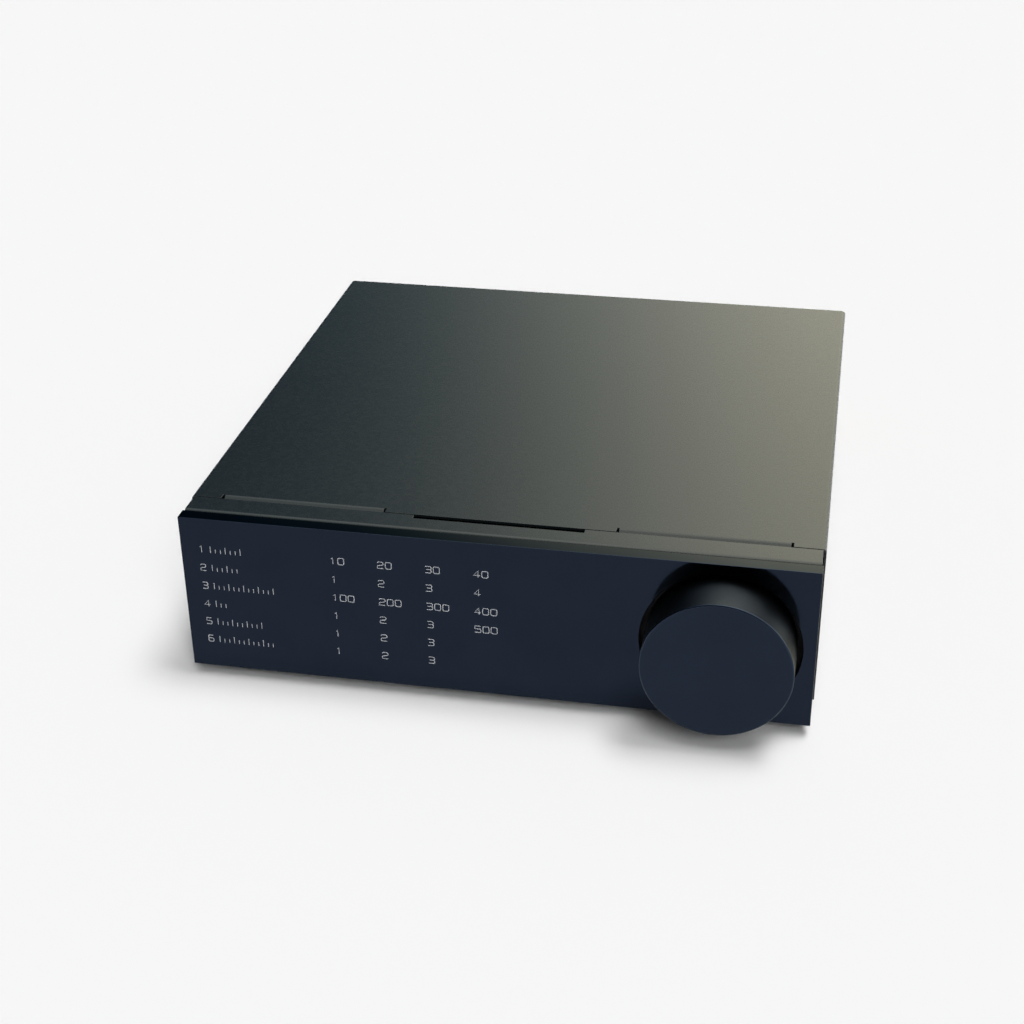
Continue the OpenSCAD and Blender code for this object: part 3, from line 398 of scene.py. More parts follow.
def ranged(tree, value, low, high, from_low=PATTERN_LOW, from_high=PATTERN_HIGH):
    """A pattern's spread brought to a range."""
    return node(tree, "MapRange", {
        "Value": value, "From Min": from_low, "From Max": from_high, "To Min": low, "To Max": high,
    }).outputs["Result"]


def shaded(value, k=1):
    """A colour made lighter or darker, with its alpha."""
    return [min(1.0, v * k) for v in value[:3]] + [1.0]


def shown(*value):
    """A colour as a display shows it, with its alpha."""
    return shaded(display(value))


def two_tone(tree, fac, dark, light):
    """A colour that runs between two tones."""
    ramp = node(tree, "ValToRGB", {"Fac": fac})
    for stop, place, tone in zip(ramp.color_ramp.elements, (PATTERN_LOW, PATTERN_HIGH), (dark, light)):
        stop.position = place
        stop.color = tone
    return ramp.outputs["Color"]


def toned(tree, value, tones):
    """A colour that runs through a table of values and their tones."""
    first, last = tones[0][0], tones[-1][0]
    ramp = node(tree, "ValToRGB", {"Fac": ranged(tree, value, 0, 1, first, last)})
    stops = ramp.color_ramp.elements
    for i, (place, *tone) in enumerate(tones):
        share_of_range = (place - first) / (last - first)
        stop = stops[0] if i == 0 else stops[-1] if place == last else stops.new(share_of_range)
        stop.position = share_of_range
        stop.color = (*tone, 1)
    return ramp.outputs["Color"]


class Finish:
    """A procedural finish, built round a Principled shader on the object's coordinates."""

    def __init__(self, name):
        self.material = bpy.data.materials.new(name)
        self.material.use_nodes = True
        self.tree = self.material.node_tree
        self.shader = self.tree.nodes["Principled BSDF"]
        self.coords = node(self.tree, "TexCoord").outputs["Object"]

    def set(self, **values):
        for key, value in values.items():
            self.shader.inputs[key.replace("_", " ")].default_value = value
        return self

    def link(self, socket, output):
        self.tree.links.new(output, self.shader.inputs[socket])
        return self

    def noise(self, scale, detail=2.0):
        inputs = {"Vector": self.coords, "Scale": scale, "Detail": detail}
        return node(self.tree, "TexNoise", inputs).outputs["Fac"]

    def mottle(self, value, scale, change):
        """Base colour with a soft variation of its tone."""
        fac = self.noise(scale, 3)
        dark, light = shaded(value, 1 - change), shaded(value, 1 + change)
        return self.link("Base Color", two_tone(self.tree, fac, dark, light))

    def haze(self, roughness, scale, change):
        """Roughness with a soft variation."""
        fac = self.noise(scale, 3)
        return self.link("Roughness", ranged(self.tree, fac, roughness - change, roughness + change))

    def grain(self, scale, depth, detail=2.0):
        """Fine relief."""
        return self.relief(self.noise(scale, detail), depth)

    def relief(self, pattern, depth):
        bump = node(self.tree, "Bump", {"Height": pattern, "Distance": depth})
        return self.link("Normal", bump.outputs["Normal"])

    def waves(self, pitch, **kind):
        """Even bands or rings, one to a pitch."""
        inputs = {"Vector": self.coords, "Scale": math.pi / 10 / pitch}
        return node(self.tree, "TexWave", inputs, **kind).outputs["Fac"]

    def cells(self, scale, **kind):
        """Distance from the middle of scattered cells."""
        inputs = {"Vector": self.coords, "Scale": scale}
        return node(self.tree, "TexVoronoi", inputs, **kind).outputs["Distance"]


FINISHES = {}


def finish(name):
    """A finish by its name, made when it's first asked for."""
    if name not in FINISHES:
        FINISHES[name] = MAKERS[name](name).material
    return FINISHES[name]


def anodised(name, value, roughness):
    """Anodised aluminium. Its sheen stays low where it is seen at a slant."""
    made = Finish(name).set(Metallic=1.0, Specular_Tint=(0.96, 0.94, 0.8, 1.0))
    return made.mottle(value, 60, 0.04).haze(roughness, 900, 0.015)


def blue_black(name, lighter=1.0, rougher=0.0):
    """The front's own anodised finish, or one near it."""
    front = settings("front")
    return anodised(name, [v * lighter for v in front.anodised], front.roughness + rougher)


def plate_anodised(name):
    return blue_black(name).grain(5200, 0.0000006)


def plate_rim(name):
    """Chamfers, where handling has polished the finish."""
    return blue_black(name, 1.5, 0.06).grain(5200, 0.000001)


def knob_anodised(name):
    """Turned face, with fine rings round the knob's axis."""
    knob = settings("knob")
    made = blue_black(name, 1.15, knob.rougher)
    axis = extent("knob")[2] * MM
    made.coords = node(made.tree, "Mapping", {"Vector": made.coords, "Location": -axis}).outputs["Vector"]
    return made.relief(made.waves(knob.groove_pitch, wave_type="RINGS", rings_direction="Y"), 0.0000008)


# The knob's chamfer, made lighter than its face so that it shows a bright line round the rim: a painted
# highlight
def knob_rim(name):
    return blue_black(name, 1.8, 0.04).grain(5200, 0.000001)


def knob_side_sheen(name):
    """Side of the knob, with the grooves of a turning tool round it, and a tone lighter than the face's that
    paints a brighter sheen on it.
    """
    knob = settings("knob")
    made = anodised(name, knob.side, knob.side_roughness)
    grooves = made.waves(knob.groove_pitch, wave_type="BANDS", bands_direction="Y")
    return made.relief(grooves, knob.groove_depth)


def painted(name, value, roughness):
    """Satin powder coat with a fine orange peel."""
    return Finish(name).mottle(value, 25, 0.04).haze(roughness, 500, 0.02).grain(1500, 0.000004, 3)


def case_paint(name):
    """Case paint with a few specks of dust."""
    case = settings("case")
    made = painted(name, case.paint, case.paint_roughness)
    near = maths(made.tree, "LESS_THAN", made.cells(34.0), 0.011)
    some = maths(made.tree, "GREATER_THAN", made.noise(9), 0.53)
    paint = made.shader.inputs["Base Color"].links[0].from_socket
    specks = maths(made.tree, "MULTIPLY", near, some)
    return made.link("Base Color", mixed(made.tree, specks, paint, shown(150, 150, 140)))


def paint_rim(name):
    """Bent and sheared edges, where the paint is thinner."""
    case = settings("case")
    return painted(name, [v * 1.4 for v in case.paint], case.paint_roughness)


def panel_paint(name):
    return painted(name, settings("case").panel, 0.42)


def front_ink(name):
    return Finish(name).mottle(settings("front").ink, 3000, 0.1).haze(0.6, 3000, 0.05)


def foot_rubber(name):
    return Finish(name).mottle(shown(30, 30, 30), 400, 0.15).haze(0.75, 700, 0.08).grain(2400, 0.00002, 4)


def board_green(name):
    """Solder mask with copper tracks that show through it."""
    made = Finish(name)
    tracks = made.cells(260.0, distance="MANHATTAN")
    made.link("Base Color", two_tone(made.tree, tracks, shown(24, 70, 40), shown(16, 48, 30)))
    return made.relief(tracks, 0.00002).haze(0.3, 900, 0.05)


def fuse_glass(name):
    made = Finish(name).set(Transmission_Weight=1.0, IOR=1.5)
    return made.mottle([0.95] * 3, 900, 0.02).haze(0.06, 900, 0.03)


def led_white(name):
    made = Finish(name).set(Subsurface_Weight=0.3, Subsurface_Scale=0.001)
    return made.mottle(shown(238, 232, 208), 900, 0.05).haze(0.4, 900, 0.05)


# Tone and roughness of each plating
PLATINGS = {
    "zinc_steel": ((176, 178, 180), 0.3), "black_steel": ((48, 48, 50), 0.38),
    "gilt": ((226, 188, 104), 0.2), "brass_plain": ((205, 172, 96), 0.32), "tin": ((205, 203, 196), 0.28),
    "sink_black": ((40, 40, 42), 0.42),
}

# Tone and roughness of each plastic, and of the near-black matt tone on the wall seen through the gap round the
# knob, painted shade for that deep gap
PLASTICS = {
    "black_plastic": ((26, 26, 27), 0.42), "pale_plastic": ((222, 216, 200), 0.42),
    "white_plastic": ((226, 226, 222), 0.36), "red_plastic": ((170, 26, 22), 0.36),
    "wire_brown": ((92, 56, 30), 0.45), "film_red": ((150, 34, 28), 0.3), "can_blue": ((34, 40, 92), 0.28),
    "painted_gap_shade": ((20, 21, 23), 0.8),
}

# The two tones of each banded finish, the axis and pitch of its bands, and its roughness
STRIPES = {
    "cable_grey": ((128, 130, 134), (158, 160, 164), "X", 1.27 * MM, 0.55),
    "winding_tape": ((150, 126, 48), (196, 168, 74), "Z", 2.1 * MM, 0.34),
}


def plated(name):
    """Bright or passivated plating, with faint cloudiness."""
    value, roughness = PLATINGS[name]
    made = Finish(name).set(Metallic=1.0)
    return made.mottle(shown(*value), 700, 0.05).haze(roughness, 900, 0.05).grain(2600, 0.000003)


def moulded(name):
    """Moulded plastic with a fine spark-eroded texture."""
    value, roughness = PLASTICS[name]
    return Finish(name).mottle(shown(*value), 500, 0.04).haze(roughness, 900, 0.05).grain(3800, 0.000012, 3)


def striped(name):
    """Parallel bands along one axis, for a flat cable or a winding."""
    dark, light, axis, pitch, roughness = STRIPES[name]
    made = Finish(name)
    bands = made.waves(pitch, wave_type="BANDS", bands_direction=axis)
    made.link("Base Color", two_tone(made.tree, bands, shown(*dark), shown(*light)))
    return made.relief(bands, pitch / 6).haze(roughness, 600, 0.05)


MAKERS = {maker.__name__: maker for maker in (
    plate_anodised, plate_rim, knob_anodised, knob_rim, knob_side_sheen, case_paint, paint_rim, panel_paint,
    front_ink, foot_rubber, board_green, fuse_glass, led_white,
)}
for kind, names in ((plated, PLATINGS), (moulded, PLASTICS), (striped, STRIPES)):
    MAKERS.update(dict.fromkeys(names, kind))


# ---------- printed figures ----------

# How far the squared figures' corners are cut, in a box one wide and one high, and where the far cuts begin
CORNER = 0.16
FAR = 1 - CORNER


def soft_box(top):
    """A closed rectangle as wide as the box, with cut corners."""
    low, high = CORNER, top - CORNER
    return [(low, 0), (FAR, 0), (1, low), (1, high), (FAR, top), (low, top), (0, high), (0, low), (low, 0)]


FIGURES = {
    "0": [soft_box(1)],
    "1": [[(0.25, 0.8), (0.52, 1), (0.52, 0)]],
    "2": [[
        (0, 0.84), (CORNER, 1), (FAR, 1), (1, 0.84), (1, 0.66), (FAR, 0.52), (CORNER, 0.44), (0, 0.3),
        (0, 0), (1, 0),
    ]],
    "3": [
        [(0, 1), (FAR, 1), (1, 0.86), (1, 0.66), (FAR, 0.52), (0.2, 0.52)],
        [(FAR, 0.52), (1, 0.38), (1, 0.14), (FAR, 0), (0, 0)],
    ],
    "4": [[(0.76, 0), (0.76, 1), (0, 0.28), (1.05, 0.28)]],
    "5": [[(0.95, 1), (0.05, 1), (0, 0.56), (FAR, 0.56), (1, 0.42), (1, 0.14), (FAR, 0), (0, 0)]],
    "6": [[(0.95, 1), (CORNER, 1), (0, 0.84), (0, 0.3)], soft_box(0.56)],
    "I": [[(0.5, 0), (0.5, 1)]],
    "O": [soft_box(1)],
}


def figure_strokes(text, x, z, width, height, pitch):
    """Strokes of a row of figures whose left edge is at x and foot at z."""
    return [
        [(x + i * pitch + px * width, z + pz * height) for px, pz in stroke]
        for i, letter in enumerate(text) for stroke in FIGURES[letter]
    ]


def printed(name, source, strokes, line, height, place):
    """Prints lines on a part. Each is a flattened round line on the X and Z plane, then put in its place."""
    curve = bpy.data.curves.new(name, "CURVE")
    curve.dimensions = "3D"
    curve.bevel_depth = line / 2
    curve.bevel_resolution = 1
    curve.use_fill_caps = True
    for stroke in strokes:
        ring = stroke[0] == stroke[-1]
        points = stroke[:-1] if ring else stroke
        spline = curve.splines.new("POLY")
        spline.points.add(len(points) - 1)
        spline.use_cyclic_u = ring
        for point, (x, z) in zip(spline.points, points):
            point.co = (x, 0, z, 1)
    piece = bpy.data.objects.new(name, curve)
    bpy.context.scene.collection.objects.link(piece)
    activate(piece)
    bpy.ops.object.convert(target="MESH")
    piece = moved(bpy.context.object, place @ Matrix.Diagonal((1, 2 * height / line, 1, 1)))
    done(piece, source, look="front_ink", replaces=False)


# ---------- the case ----------


class PREAMP_OT_front_plate(Operator):
    """Machined front plate with fine chamfers and a blue-black anodised finish"""

    bl_idname = "preamp.front_plate"
    bl_label = "Front Plate"

    def execute(self, context):
        piece = refined("front_plate", "face_plate", settings("front").edge, rim=True)
        done(piece, "front_plate", ["plate_rim"])
        return {"FINISHED"}


class PREAMP_OT_legends(Operator):
    """Printed values in columns, and a numbered row of ticks at the left of each"""

    bl_idname = "preamp.legends"
    bl_label = "Front Legends"

    VALUES = "10 20 30 40", "1 2 3 4", "100 200 300 400", "1 2 3 500", "1 2 3", "1 2 3"
    # Length in millimetres of each row's number and ticks, and how the ticks alternate
    SCALES = (14.4, 13.3, 25.1, 8.2, 19.8, 23.7)
    TALL_EVERY = 3
    SHORT_TICK = 0.6
    NARROWER = 0.9

    def execute(self, context):
        front = settings("front")
        width, height = front.figure_width, front.cap_height
        values, ticks = [], []
        for row, texts in enumerate(self.VALUES):
            foot = PLATE_LOW.z + front.top_row - row * front.row_pitch - height / 2
            for column, text in enumerate(texts.split()):
                left = front.first_column + column * front.column_pitch
                values += figure_strokes(text, left, foot, width, height, front.figure_pitch)
            label = front.label_column
            values += figure_strokes(str(row + 1), label, foot, width * self.NARROWER, height, width)
            start = label + 2 * width
            count = round((self.SCALES[row] * MM - 2 * width) / front.tick_pitch)
            for i in range(count + 1):
                x = start + i * front.tick_pitch
                ticks.append([(x, foot), (x, foot + height * (self.SHORT_TICK if i % self.TALL_EVERY else 1))])
        place = Matrix.Translation((0, PLATE_LOW.y, 0))
        for name, strokes, line in (("value_figures", values, front.line), ("row_ticks", ticks, front.tick)):
            printed(name, "front_plate", strokes, line, front.ink_height, place)
        return {"FINISHED"}


class PREAMP_OT_case(Operator):
    """Folded tray and cover with eased sheared edges, and the rear panel"""

    bl_idname = "preamp.case"
    bl_label = "Case"

    SHEETS = {"top_cover": "folded_cover", "base_tray": "folded_tray", "rear_panel": "socket_panel"}
    # How squarely a face looks forward, and how near it lies to touch
    FORWARD, TOUCHING = -0.99, 0.02 * MM

    def execute(self, context):
        for source, name in self.SHEETS.items():
            piece = refined(source, name, settings("case").edge, rim=True)
            # The wall that lies against the front plate gets the near-black matt tone, painted shade for the
            # gap round the knob
            for face in piece.data.polygons:
                if face.normal.y < self.FORWARD and abs(face.center.y - PLATE_HIGH.y) < self.TOUCHING:
                    face.material_index = 2
            done(piece, source, ["paint_rim", "painted_gap_shade"])
        return {"FINISHED"}


class PREAMP_OT_knob(Operator):
    """Turned knob with a fine chamfer, and the grub screw's hole in its underside"""

    bl_idname = "preamp.knob"
    bl_label = "Knob"

    # Radii of the nut's well, the shaft's bore and the screw's hole, and two depths, in millimetres
    WELL, BORE, HOLE = 8.5, 3.02, 2.05
    WELL_DEPTH, BORE_DEPTH = 8, 9
    # Rings of the flat face, as shares of the radius
    RINGS = (0.75, 0.5, 0.25, 0.02)
    # How square to the axis the flat face stands, and how slanted the chamfer
    FLAT_FACE, SLANTED = 0.98, 0.2

    def execute(self, context):
        knob = settings("knob")
        low, high, centre = extent("knob")
        radius, length = (high.x - low.x) / 2, high.y - low.y
        edge = knob.edge / MM
        back = edge / 2
        bottom = length - self.WELL_DEPTH
        piece = turned("volume_knob", [
            (self.BORE, bottom - self.BORE_DEPTH), (self.BORE, bottom), (self.WELL, bottom),
            (self.WELL, length - back), (self.WELL + back, length), (radius - back, length),
            (radius, length - back), (radius, edge), (radius - edge * 0.12, edge * 0.5),
            (radius - edge * 0.5, edge * 0.12), (radius - edge, 0), *((radius * k, 0) for k in self.RINGS),
        ], at(centre.x, low.y, centre.z, REARWARD), knob.steps)
        screw = extent("knob_set_screw")[2]
        depth = radius + 2
        cut(piece, bar(32, self.HOLE, depth, (screw.x, screw.y, centre.z - depth / 2)))
        three_slots(piece)
        for face in piece.data.polygons:
            outward = math.hypot(face.center.x / MM - centre.x, face.center.z / MM - centre.z)
            if outward > radius - edge and abs(face.normal.y) < self.FLAT_FACE:
                face.material_index = 1 if abs(face.normal.y) > self.SLANTED else 2
        done(piece, "knob", ["knob_rim", "knob_side_sheen"])
        return {"FINISHED"}


class PREAMP_OT_feet(Operator):
    """Moulded rubber feet with a counterbore for their screws"""

    bl_idname = "preamp.feet"
    bl_label = "Feet"

    # Radius of the screw's bore and of the counterbore, and height of the seat, in millimetres
    BORE, WELL, SEAT = 1.7, 3.5, 2.6

    def execute(self, context):
        radius, well = settings("case").foot_radius / MM, self.WELL
        height = extent("feet")[1].z
        side = [(0.4, height), (0, height - 0.4), (0, height - 1.2), (0.9, 1), (1.3, 0.4), (2, 0.1), (2.6, 0)]
        foot = turned("foot", [
            (well, self.SEAT), (self.BORE, self.SEAT), (self.BORE, height), *((radius - x, z) for x, z in side),
            (well + 1.6, 0), (well + 1.2, 0.3), (well + 0.6, 0.3), (well, 0.7), (well, self.SEAT),
        ], steps=72)
        spread(foot, "feet", "foot", [at(x, y, 0) for x, y in foot_centres()])
        return {"FINISHED"}


def foot_centres():
    """Centres of the four feet, from their common box."""
    low, high, _ = extent("feet")
    radius = settings("case").foot_radius / MM
    return [(x, y) for x in (low.x + radius, high.x - radius) for y in (low.y + radius, high.y - radius)]


# ---------- screws ----------


def threads(radius, low, high, pitch):
    """Profile of a thread's rings between two heights."""
    turns = round((high - low) / pitch)
    step = (high - low) / turns
    root = radius - 0.54 * step
    points = []
    for i in range(turns):
        points += [(root, low + i * step), (radius, low + (i + 0.5) * step)]
    return points + [(root, high)]


def pan_screw(shank):
    """Domed screw with a hex recess. Its seat is at height zero and its shank points down."""
    thread, pitch, head, key = 1.5, 0.5, 2.75, 1.0
    dome = [(1, 0), (1, 0.4), (0.96, 0.6), (0.86, 0.79), (0.7, 0.92), (0.52, 0.98), (0.38, 1)]
    profile = threads(thread, -shank, 0, pitch) + [(head * r, HEAD_RISE * z) for r, z in dome]
    return cut(turned("screw", profile, steps=32), bar(6, key, HEAD_RISE, (0, 0, HEAD_RISE)))


class PREAMP_OT_screws(Operator):
    """Domed screws of the cover, rear panel, feet and balanced sockets"""

    bl_idname = "preamp.screws"
    bl_label = "Screws"

    # Length of the shanks and distance of a socket's screws from its middle, in millimetres
    SHORT, FOOT, SOCKET = 5, 6.4, 7.1
    ASIDE, ABOVE = 9.5, 12

    def execute(self, context):
        _, cover_high, cover = extent("cover_screws")
        panel_low, _, panel = extent("rear_panel_screws")
        feet_low, seat = extent("foot_screws")[0], extent("xlr_housings")[1].y
        for source, stem, shank, turn, places in (
            ("cover_screws", "cover_screw", self.SHORT, REARWARD, [
                (x, cover_high.y - HEAD_RISE, cover.z) for x in REAR_SCREWS_X
            ]),
            ("rear_panel_screws", "panel_screw", self.SHORT, DOWNWARD, [
                (x, panel.y, panel_low.z + HEAD_RISE) for x in REAR_SCREWS_X
            ]),
            ("foot_screws", "foot_screw", self.FOOT, DOWNWARD, [
                (x, y, feet_low.z + HEAD_RISE) for x, y in foot_centres()
            ]),
            ("xlr_screws", "socket_screw", self.SOCKET, REARWARD, [
                (x + side * self.ASIDE, seat, SOCKET_Z + side * self.ABOVE)
                for x in BALANCED_X for side in (-1, 1)
            ]),
        ):
            spread(pan_screw(shank), source, stem, [at(*place, turn) for place in places])
        return {"FINISHED"}


# ---------- the rear panel's parts ----------


def phono_shell():
    seat, tip, bore, thread, pitch = 12.1, 22.3, 3.3, 4, 0.75
    return turned("shell", [
        (bore, 0), *threads(thread, 0, seat, pitch), (5.8, seat), (6, seat + 0.2), (6, seat + 0.9),
        (5.7, seat + 1.2), (4.4, seat + 1.2), (4.15, seat + 1.45), (4.15, tip - 0.7), (4.02, tip - 0.25),
        (3.75, tip), (3.55, tip), (bore, tip - 0.25), (bore, 0),
    ], steps=72)


def phono_insulator():
    bore, radius, length = 2.12, 3.28, 21.5
    return turned("insulator", [
        (bore, 0), (radius, 0), (radius, length - 0.3), (radius - 0.3, length), (bore + 0.35, length),
        (bore, length - 0.35), (bore, 0),
    ])


def phono_contact():
    radius, bore, length = 2.1, 1.6, 25.3
    slot_width, slot_length, slot_depth, beyond = 0.45, 6, 6.5, 0.5
    piece = turned("contact", [
        (0.7, 0), (0.9, 0.3), (0.9, 3.6), (1.9, 4), (radius, 4.2), (radius, length - 0.3),
        (radius - 0.2, length), (bore + 0.1, length), (bore, length - 0.2), (bore, length - 9),
        (0.3, length - 9.6),
    ], steps=48)
    for turn in (0, 90):
        middle = length + (beyond - slot_depth) / 2
        bpy.ops.mesh.primitive_cube_add(size=1, location=(0, 0, middle * MM))
        slot = bpy.context.object
        slot.scale = Vector((slot_width, slot_length, slot_depth + beyond)) * MM
        slot.rotation_euler.z = math.radians(turn)
        bpy.ops.object.transform_apply(location=True, rotation=True, scale=True)
        cut(piece, slot)
    return piece


def phono_collar():
    bore, radius, rise = 4.02, 6.9, 1.6
    return turned("collar", [
        (bore, 0), (radius, 0), (radius, rise - 0.5), (radius - 0.15, rise - 0.15), (radius - 0.5, rise),
        (bore, rise), (bore, 0),
    ], steps=72)


class PREAMP_OT_phono_sockets(Operator):
    """Four gilt phono sockets: threaded shells, insulators, slotted contacts and coloured collars"""

    bl_idname = "preamp.phono_sockets"
    bl_label = "Phono Sockets"

    def execute(self, context):
        back, tail = extent("rca_shells")[0].y, extent("rca_contacts")[0].y
        for model, source, stem, y, heights in (
            (phono_shell, "rca_shells", "phono_shell", back, PHONO_Z),
            (phono_insulator, "rca_inserts", "phono_insulator", back, PHONO_Z),
            (phono_contact, "rca_contacts", "phono_contact", tail, PHONO_Z),
            (phono_collar, "rca_collars_white", "white_collar", PANEL_FACE, PHONO_Z[:1]),
            (phono_collar, "rca_collars_red", "red_collar", PANEL_FACE, PHONO_Z[1:]),
        ):
            spread(model(), source, stem, [at(x, y, z, REARWARD) for x in PHONO_X for z in heights])
        return {"FINISHED"}


def socket_pin(length):
    radius = 1.2
    return turned("pin", [
        (0.8, 0), (radius, 0.4), (radius, length - 1.1), (1.12, length - 0.7), (0.9, length - 0.35),
        (0.55, length - 0.1), (0.1, length),
    ], steps=32)


class PREAMP_OT_balanced_sockets(Operator):
    """Four balanced sockets: shells, moulded cores, pins and two release tabs"""

    bl_idname = "preamp.balanced_sockets"
    bl_label = "Balanced Sockets"

    PARTS = {
        "xlr_housings": ("balanced_shells", 1.4), "xlr_inserts": ("balanced_cores", 0.6),
        "xlr_latch_left": ("release_tab_left", 0.6), "xlr_latch_right": ("release_tab_right", 0.6),
    }
    # Radius of the circle that the pins stand on, in millimetres, and their angles
    PINS = 4.6
    PIN_ANGLES = (150, 30, 270)
    # Name, sockets, order and length in millimetres of the pins, and of the other sockets' tails
    PIN_SETS = (("male_pin", BALANCED_X[:2], -1, 22), ("female_tail", BALANCED_X[2:], 1, 11))

    def execute(self, context):
        dressed(self.PARTS)
        back = extent("xlr_pins")[0].y
        turns = [math.radians(angle) for angle in self.PIN_ANGLES]
        for stem, sockets, side, length in self.PIN_SETS:
            places = [
                at(x + side * self.PINS * math.cos(turn), back, SOCKET_Z - self.PINS * math.sin(turn), REARWARD)
                for x in sockets for turn in turns
            ]
            spread(socket_pin(length), "xlr_pins", stem, places)
        return {"FINISHED"}


class PREAMP_OT_mains_parts(Operator):
    """Mains inlet and blades, fuse drawer with its glass fuse, and the marked rocker switch"""

    bl_idname = "preamp.mains_parts"
    bl_label = "Mains Parts"

    PARTS = {
        "mains_inlet": ("inlet_moulding", 1), "inlet_blades": ("mains_blades", 0.6),
        "fuse_drawer": ("fuse_holder", 1), "power_switch_frame": ("switch_bezel", 1),
        "power_rocker": ("switch_rocker", 1),
    }
    # The rocker's pivot in millimetres, its tilt at rest and the slant of its two halves in degrees
    PIVOT_Y, PIVOT_Z = 110.25, 33.5
    TILT, SLANT = -10, 9.73
    # Middle of each mark before the tilt, its size and its ink's height in millimetres, and its bolder line
    MARK_Y, MARK_Z = 4.5, 3.5
    MARK_WIDTH, MARK_HEIGHT, INK = 2.6, 3, 0.04
    BOLDER = 1.4
    # Length of a fuse cap that overlaps the glass, in millimetres
    CAP = 4.9

    def execute(self, context):
        dressed(self.PARTS)
        self.add_marks()
        self.add_fuse()
        return {"FINISHED"}

    def add_marks(self):
        """A line on the upper half of the rocker and a ring on the lower one."""
        rear = settings("rear")
        tilted = at(extent("power_rocker")[2].x, self.PIVOT_Y, self.PIVOT_Z, about_x(self.TILT))
        width, height = self.MARK_WIDTH * MM, self.MARK_HEIGHT * MM
        for name, letter, side in (("on_mark", "I", 1), ("off_mark", "O", -1)):
            strokes = figure_strokes(letter, -width / 2, -height / 2, width, height, width)
            place = tilted @ at(0, self.MARK_Y, side * self.MARK_Z, about_x(-side * self.SLANT))
            printed(name, "power_rocker", strokes, rear.line * self.BOLDER, self.INK * MM, place)

    def add_fuse(self):
        """Glass tube, two plated caps and the wire between them."""
        low, high, centre = extent("fuse")
        radius, length = (high.z - low.z) / 2, high.x - low.x
        along = at(low.x, centre.y, centre.z, Matrix.Rotation(math.radians(90), 4, "Y"))
        cap = [(radius - 0.5, 0), (radius - 0.15, 0.15), (radius, 0.5), (radius, 4.8), (radius - 0.2, 5)]
        for i, place in enumerate((along, along @ at(0, 0, length, DOWNWARD))):
            done(turned(f"fuse_cap_{i + 1}", cap, place, 48), "fuse", look="tin")
        near, far = self.CAP, length - self.CAP
        inner, outer = radius - 0.75, radius - 0.25
        tube = [(inner, near), (outer, near), (outer, far), (inner, far), (inner, near)]
        done(turned("fuse_tube", tube, along, 48), "fuse")
        middle = length / 2
        wire = [(0.1, near), (0.1, middle - 0.6), (0.22, middle), (0.1, middle + 0.6), (0.1, far)]
        done(turned("fuse_wire", wire, along, 12), "fuse", look="tin")


def about_x(degrees):
    return Matrix.Rotation(math.radians(degrees), 4, "X")


class PREAMP_OT_ground_post(Operator):
    """Threaded ground post with its collar, washer and knurled nut"""

    bl_idname = "preamp.ground_post"
    bl_label = "Ground Post"

    # Radius and pitch of the post's thread, in millimetres
    THREAD, PITCH = 2, 0.7
    # The nut inside the panel: width across its flats, thickness, distance from the post's inner end and edge
    ACROSS, THICK, NUT_Y, NUT_EDGE = 7, 3, 4.5, 0.25
    # Washer and thumb nut, with their share of the moulded edge
    PARTS = {"ground_washer": ("flat_washer", 0.48), "ground_thumb_nut": ("knurled_nut", 0.48)}

    def execute(self, context):
        low, high, centre = extent("ground_post")
        collar, length = PANEL_FACE - low.y, high.y - low.y
        place = at(centre.x, low.y, centre.z, REARWARD)
        stud = turned("ground_stud", [
            (1.2, 0), *threads(self.THREAD, 0, collar, self.PITCH), (4.8, collar), (5, collar + 0.2),
            (5, collar + 1.7), (4.7, collar + 2), *threads(self.THREAD, collar + 2, length - 0.5, self.PITCH),
            (1.1, length),
        ], place)
        done(stud, "ground_post")
        bar(6, self.ACROSS / math.sqrt(3), self.THICK)
        nut = named("ground_back_nut")
        cut(nut, bar(48, self.THREAD, self.THICK + 2))
        eased(nut, self.NUT_EDGE * MM, angle=50)
        moved(nut, place @ at(0, 0, self.NUT_Y))
        done(nut, "ground_post")
        dressed(self.PARTS)
        return {"FINISHED"}


class PREAMP_OT_rear_print(Operator):
    """Socket numbers, frames round the groups of sockets and the earth sign"""

    bl_idname = "preamp.rear_print"
    bl_label = "Rear Print"

    # In millimetres, seen from behind: the numbers' foot, the frames' sides, bottom and top, the ink's height,
    # the earth sign's stem, its first bar's half width and how the next bars shrink and drop
    NUMBERS_Z = 53.4
    INK = 0.03
    FRAMES_X = (-97, -23.05, 50)
    FRAMES_Z = (10.5, 57)
    STEM_TOP, STEM_FOOT = 26, 23.6
    BAR, SHRINK, DROP = 2, 0.6, 0.8
    # Width of a figure as a share of its height
    NARROW = 0.75

    def execute(self, context):
        rear = settings("rear")
        height, foot = rear.figure_height, self.NUMBERS_Z * MM
        width = height * self.NARROW
        strokes = []
        # Read from behind, so the order runs from +X to -X
        for i, x in enumerate(sorted((*PHONO_X, *BALANCED_X), reverse=True)):
            strokes += figure_strokes(str(i + 1), -x * MM - width / 2, foot, width, height, width)
        low, high = (z * MM for z in self.FRAMES_Z)
        sides = [x * MM for x in self.FRAMES_X]
        for x0, x1 in zip(sides, sides[1:]):
            strokes.append([(x0, low), (x1, low), (x1, high), (x0, high), (x0, low)])
        post = -extent("ground_post")[2].x * MM
        strokes.append([(post, self.STEM_TOP * MM), (post, self.STEM_FOOT * MM)])
        for i in range(3):
            half, z = (self.BAR - self.SHRINK * i) * MM, (self.STEM_FOOT - self.DROP * i) * MM
            strokes.append([(post - half, z), (post + half, z)])
        place = at(0, PANEL_FACE, 0, Matrix.Rotation(math.pi, 4, "Z"))
        printed("rear_print", "rear_panel", strokes, rear.line, self.INK * MM, place)
        return {"FINISHED"}


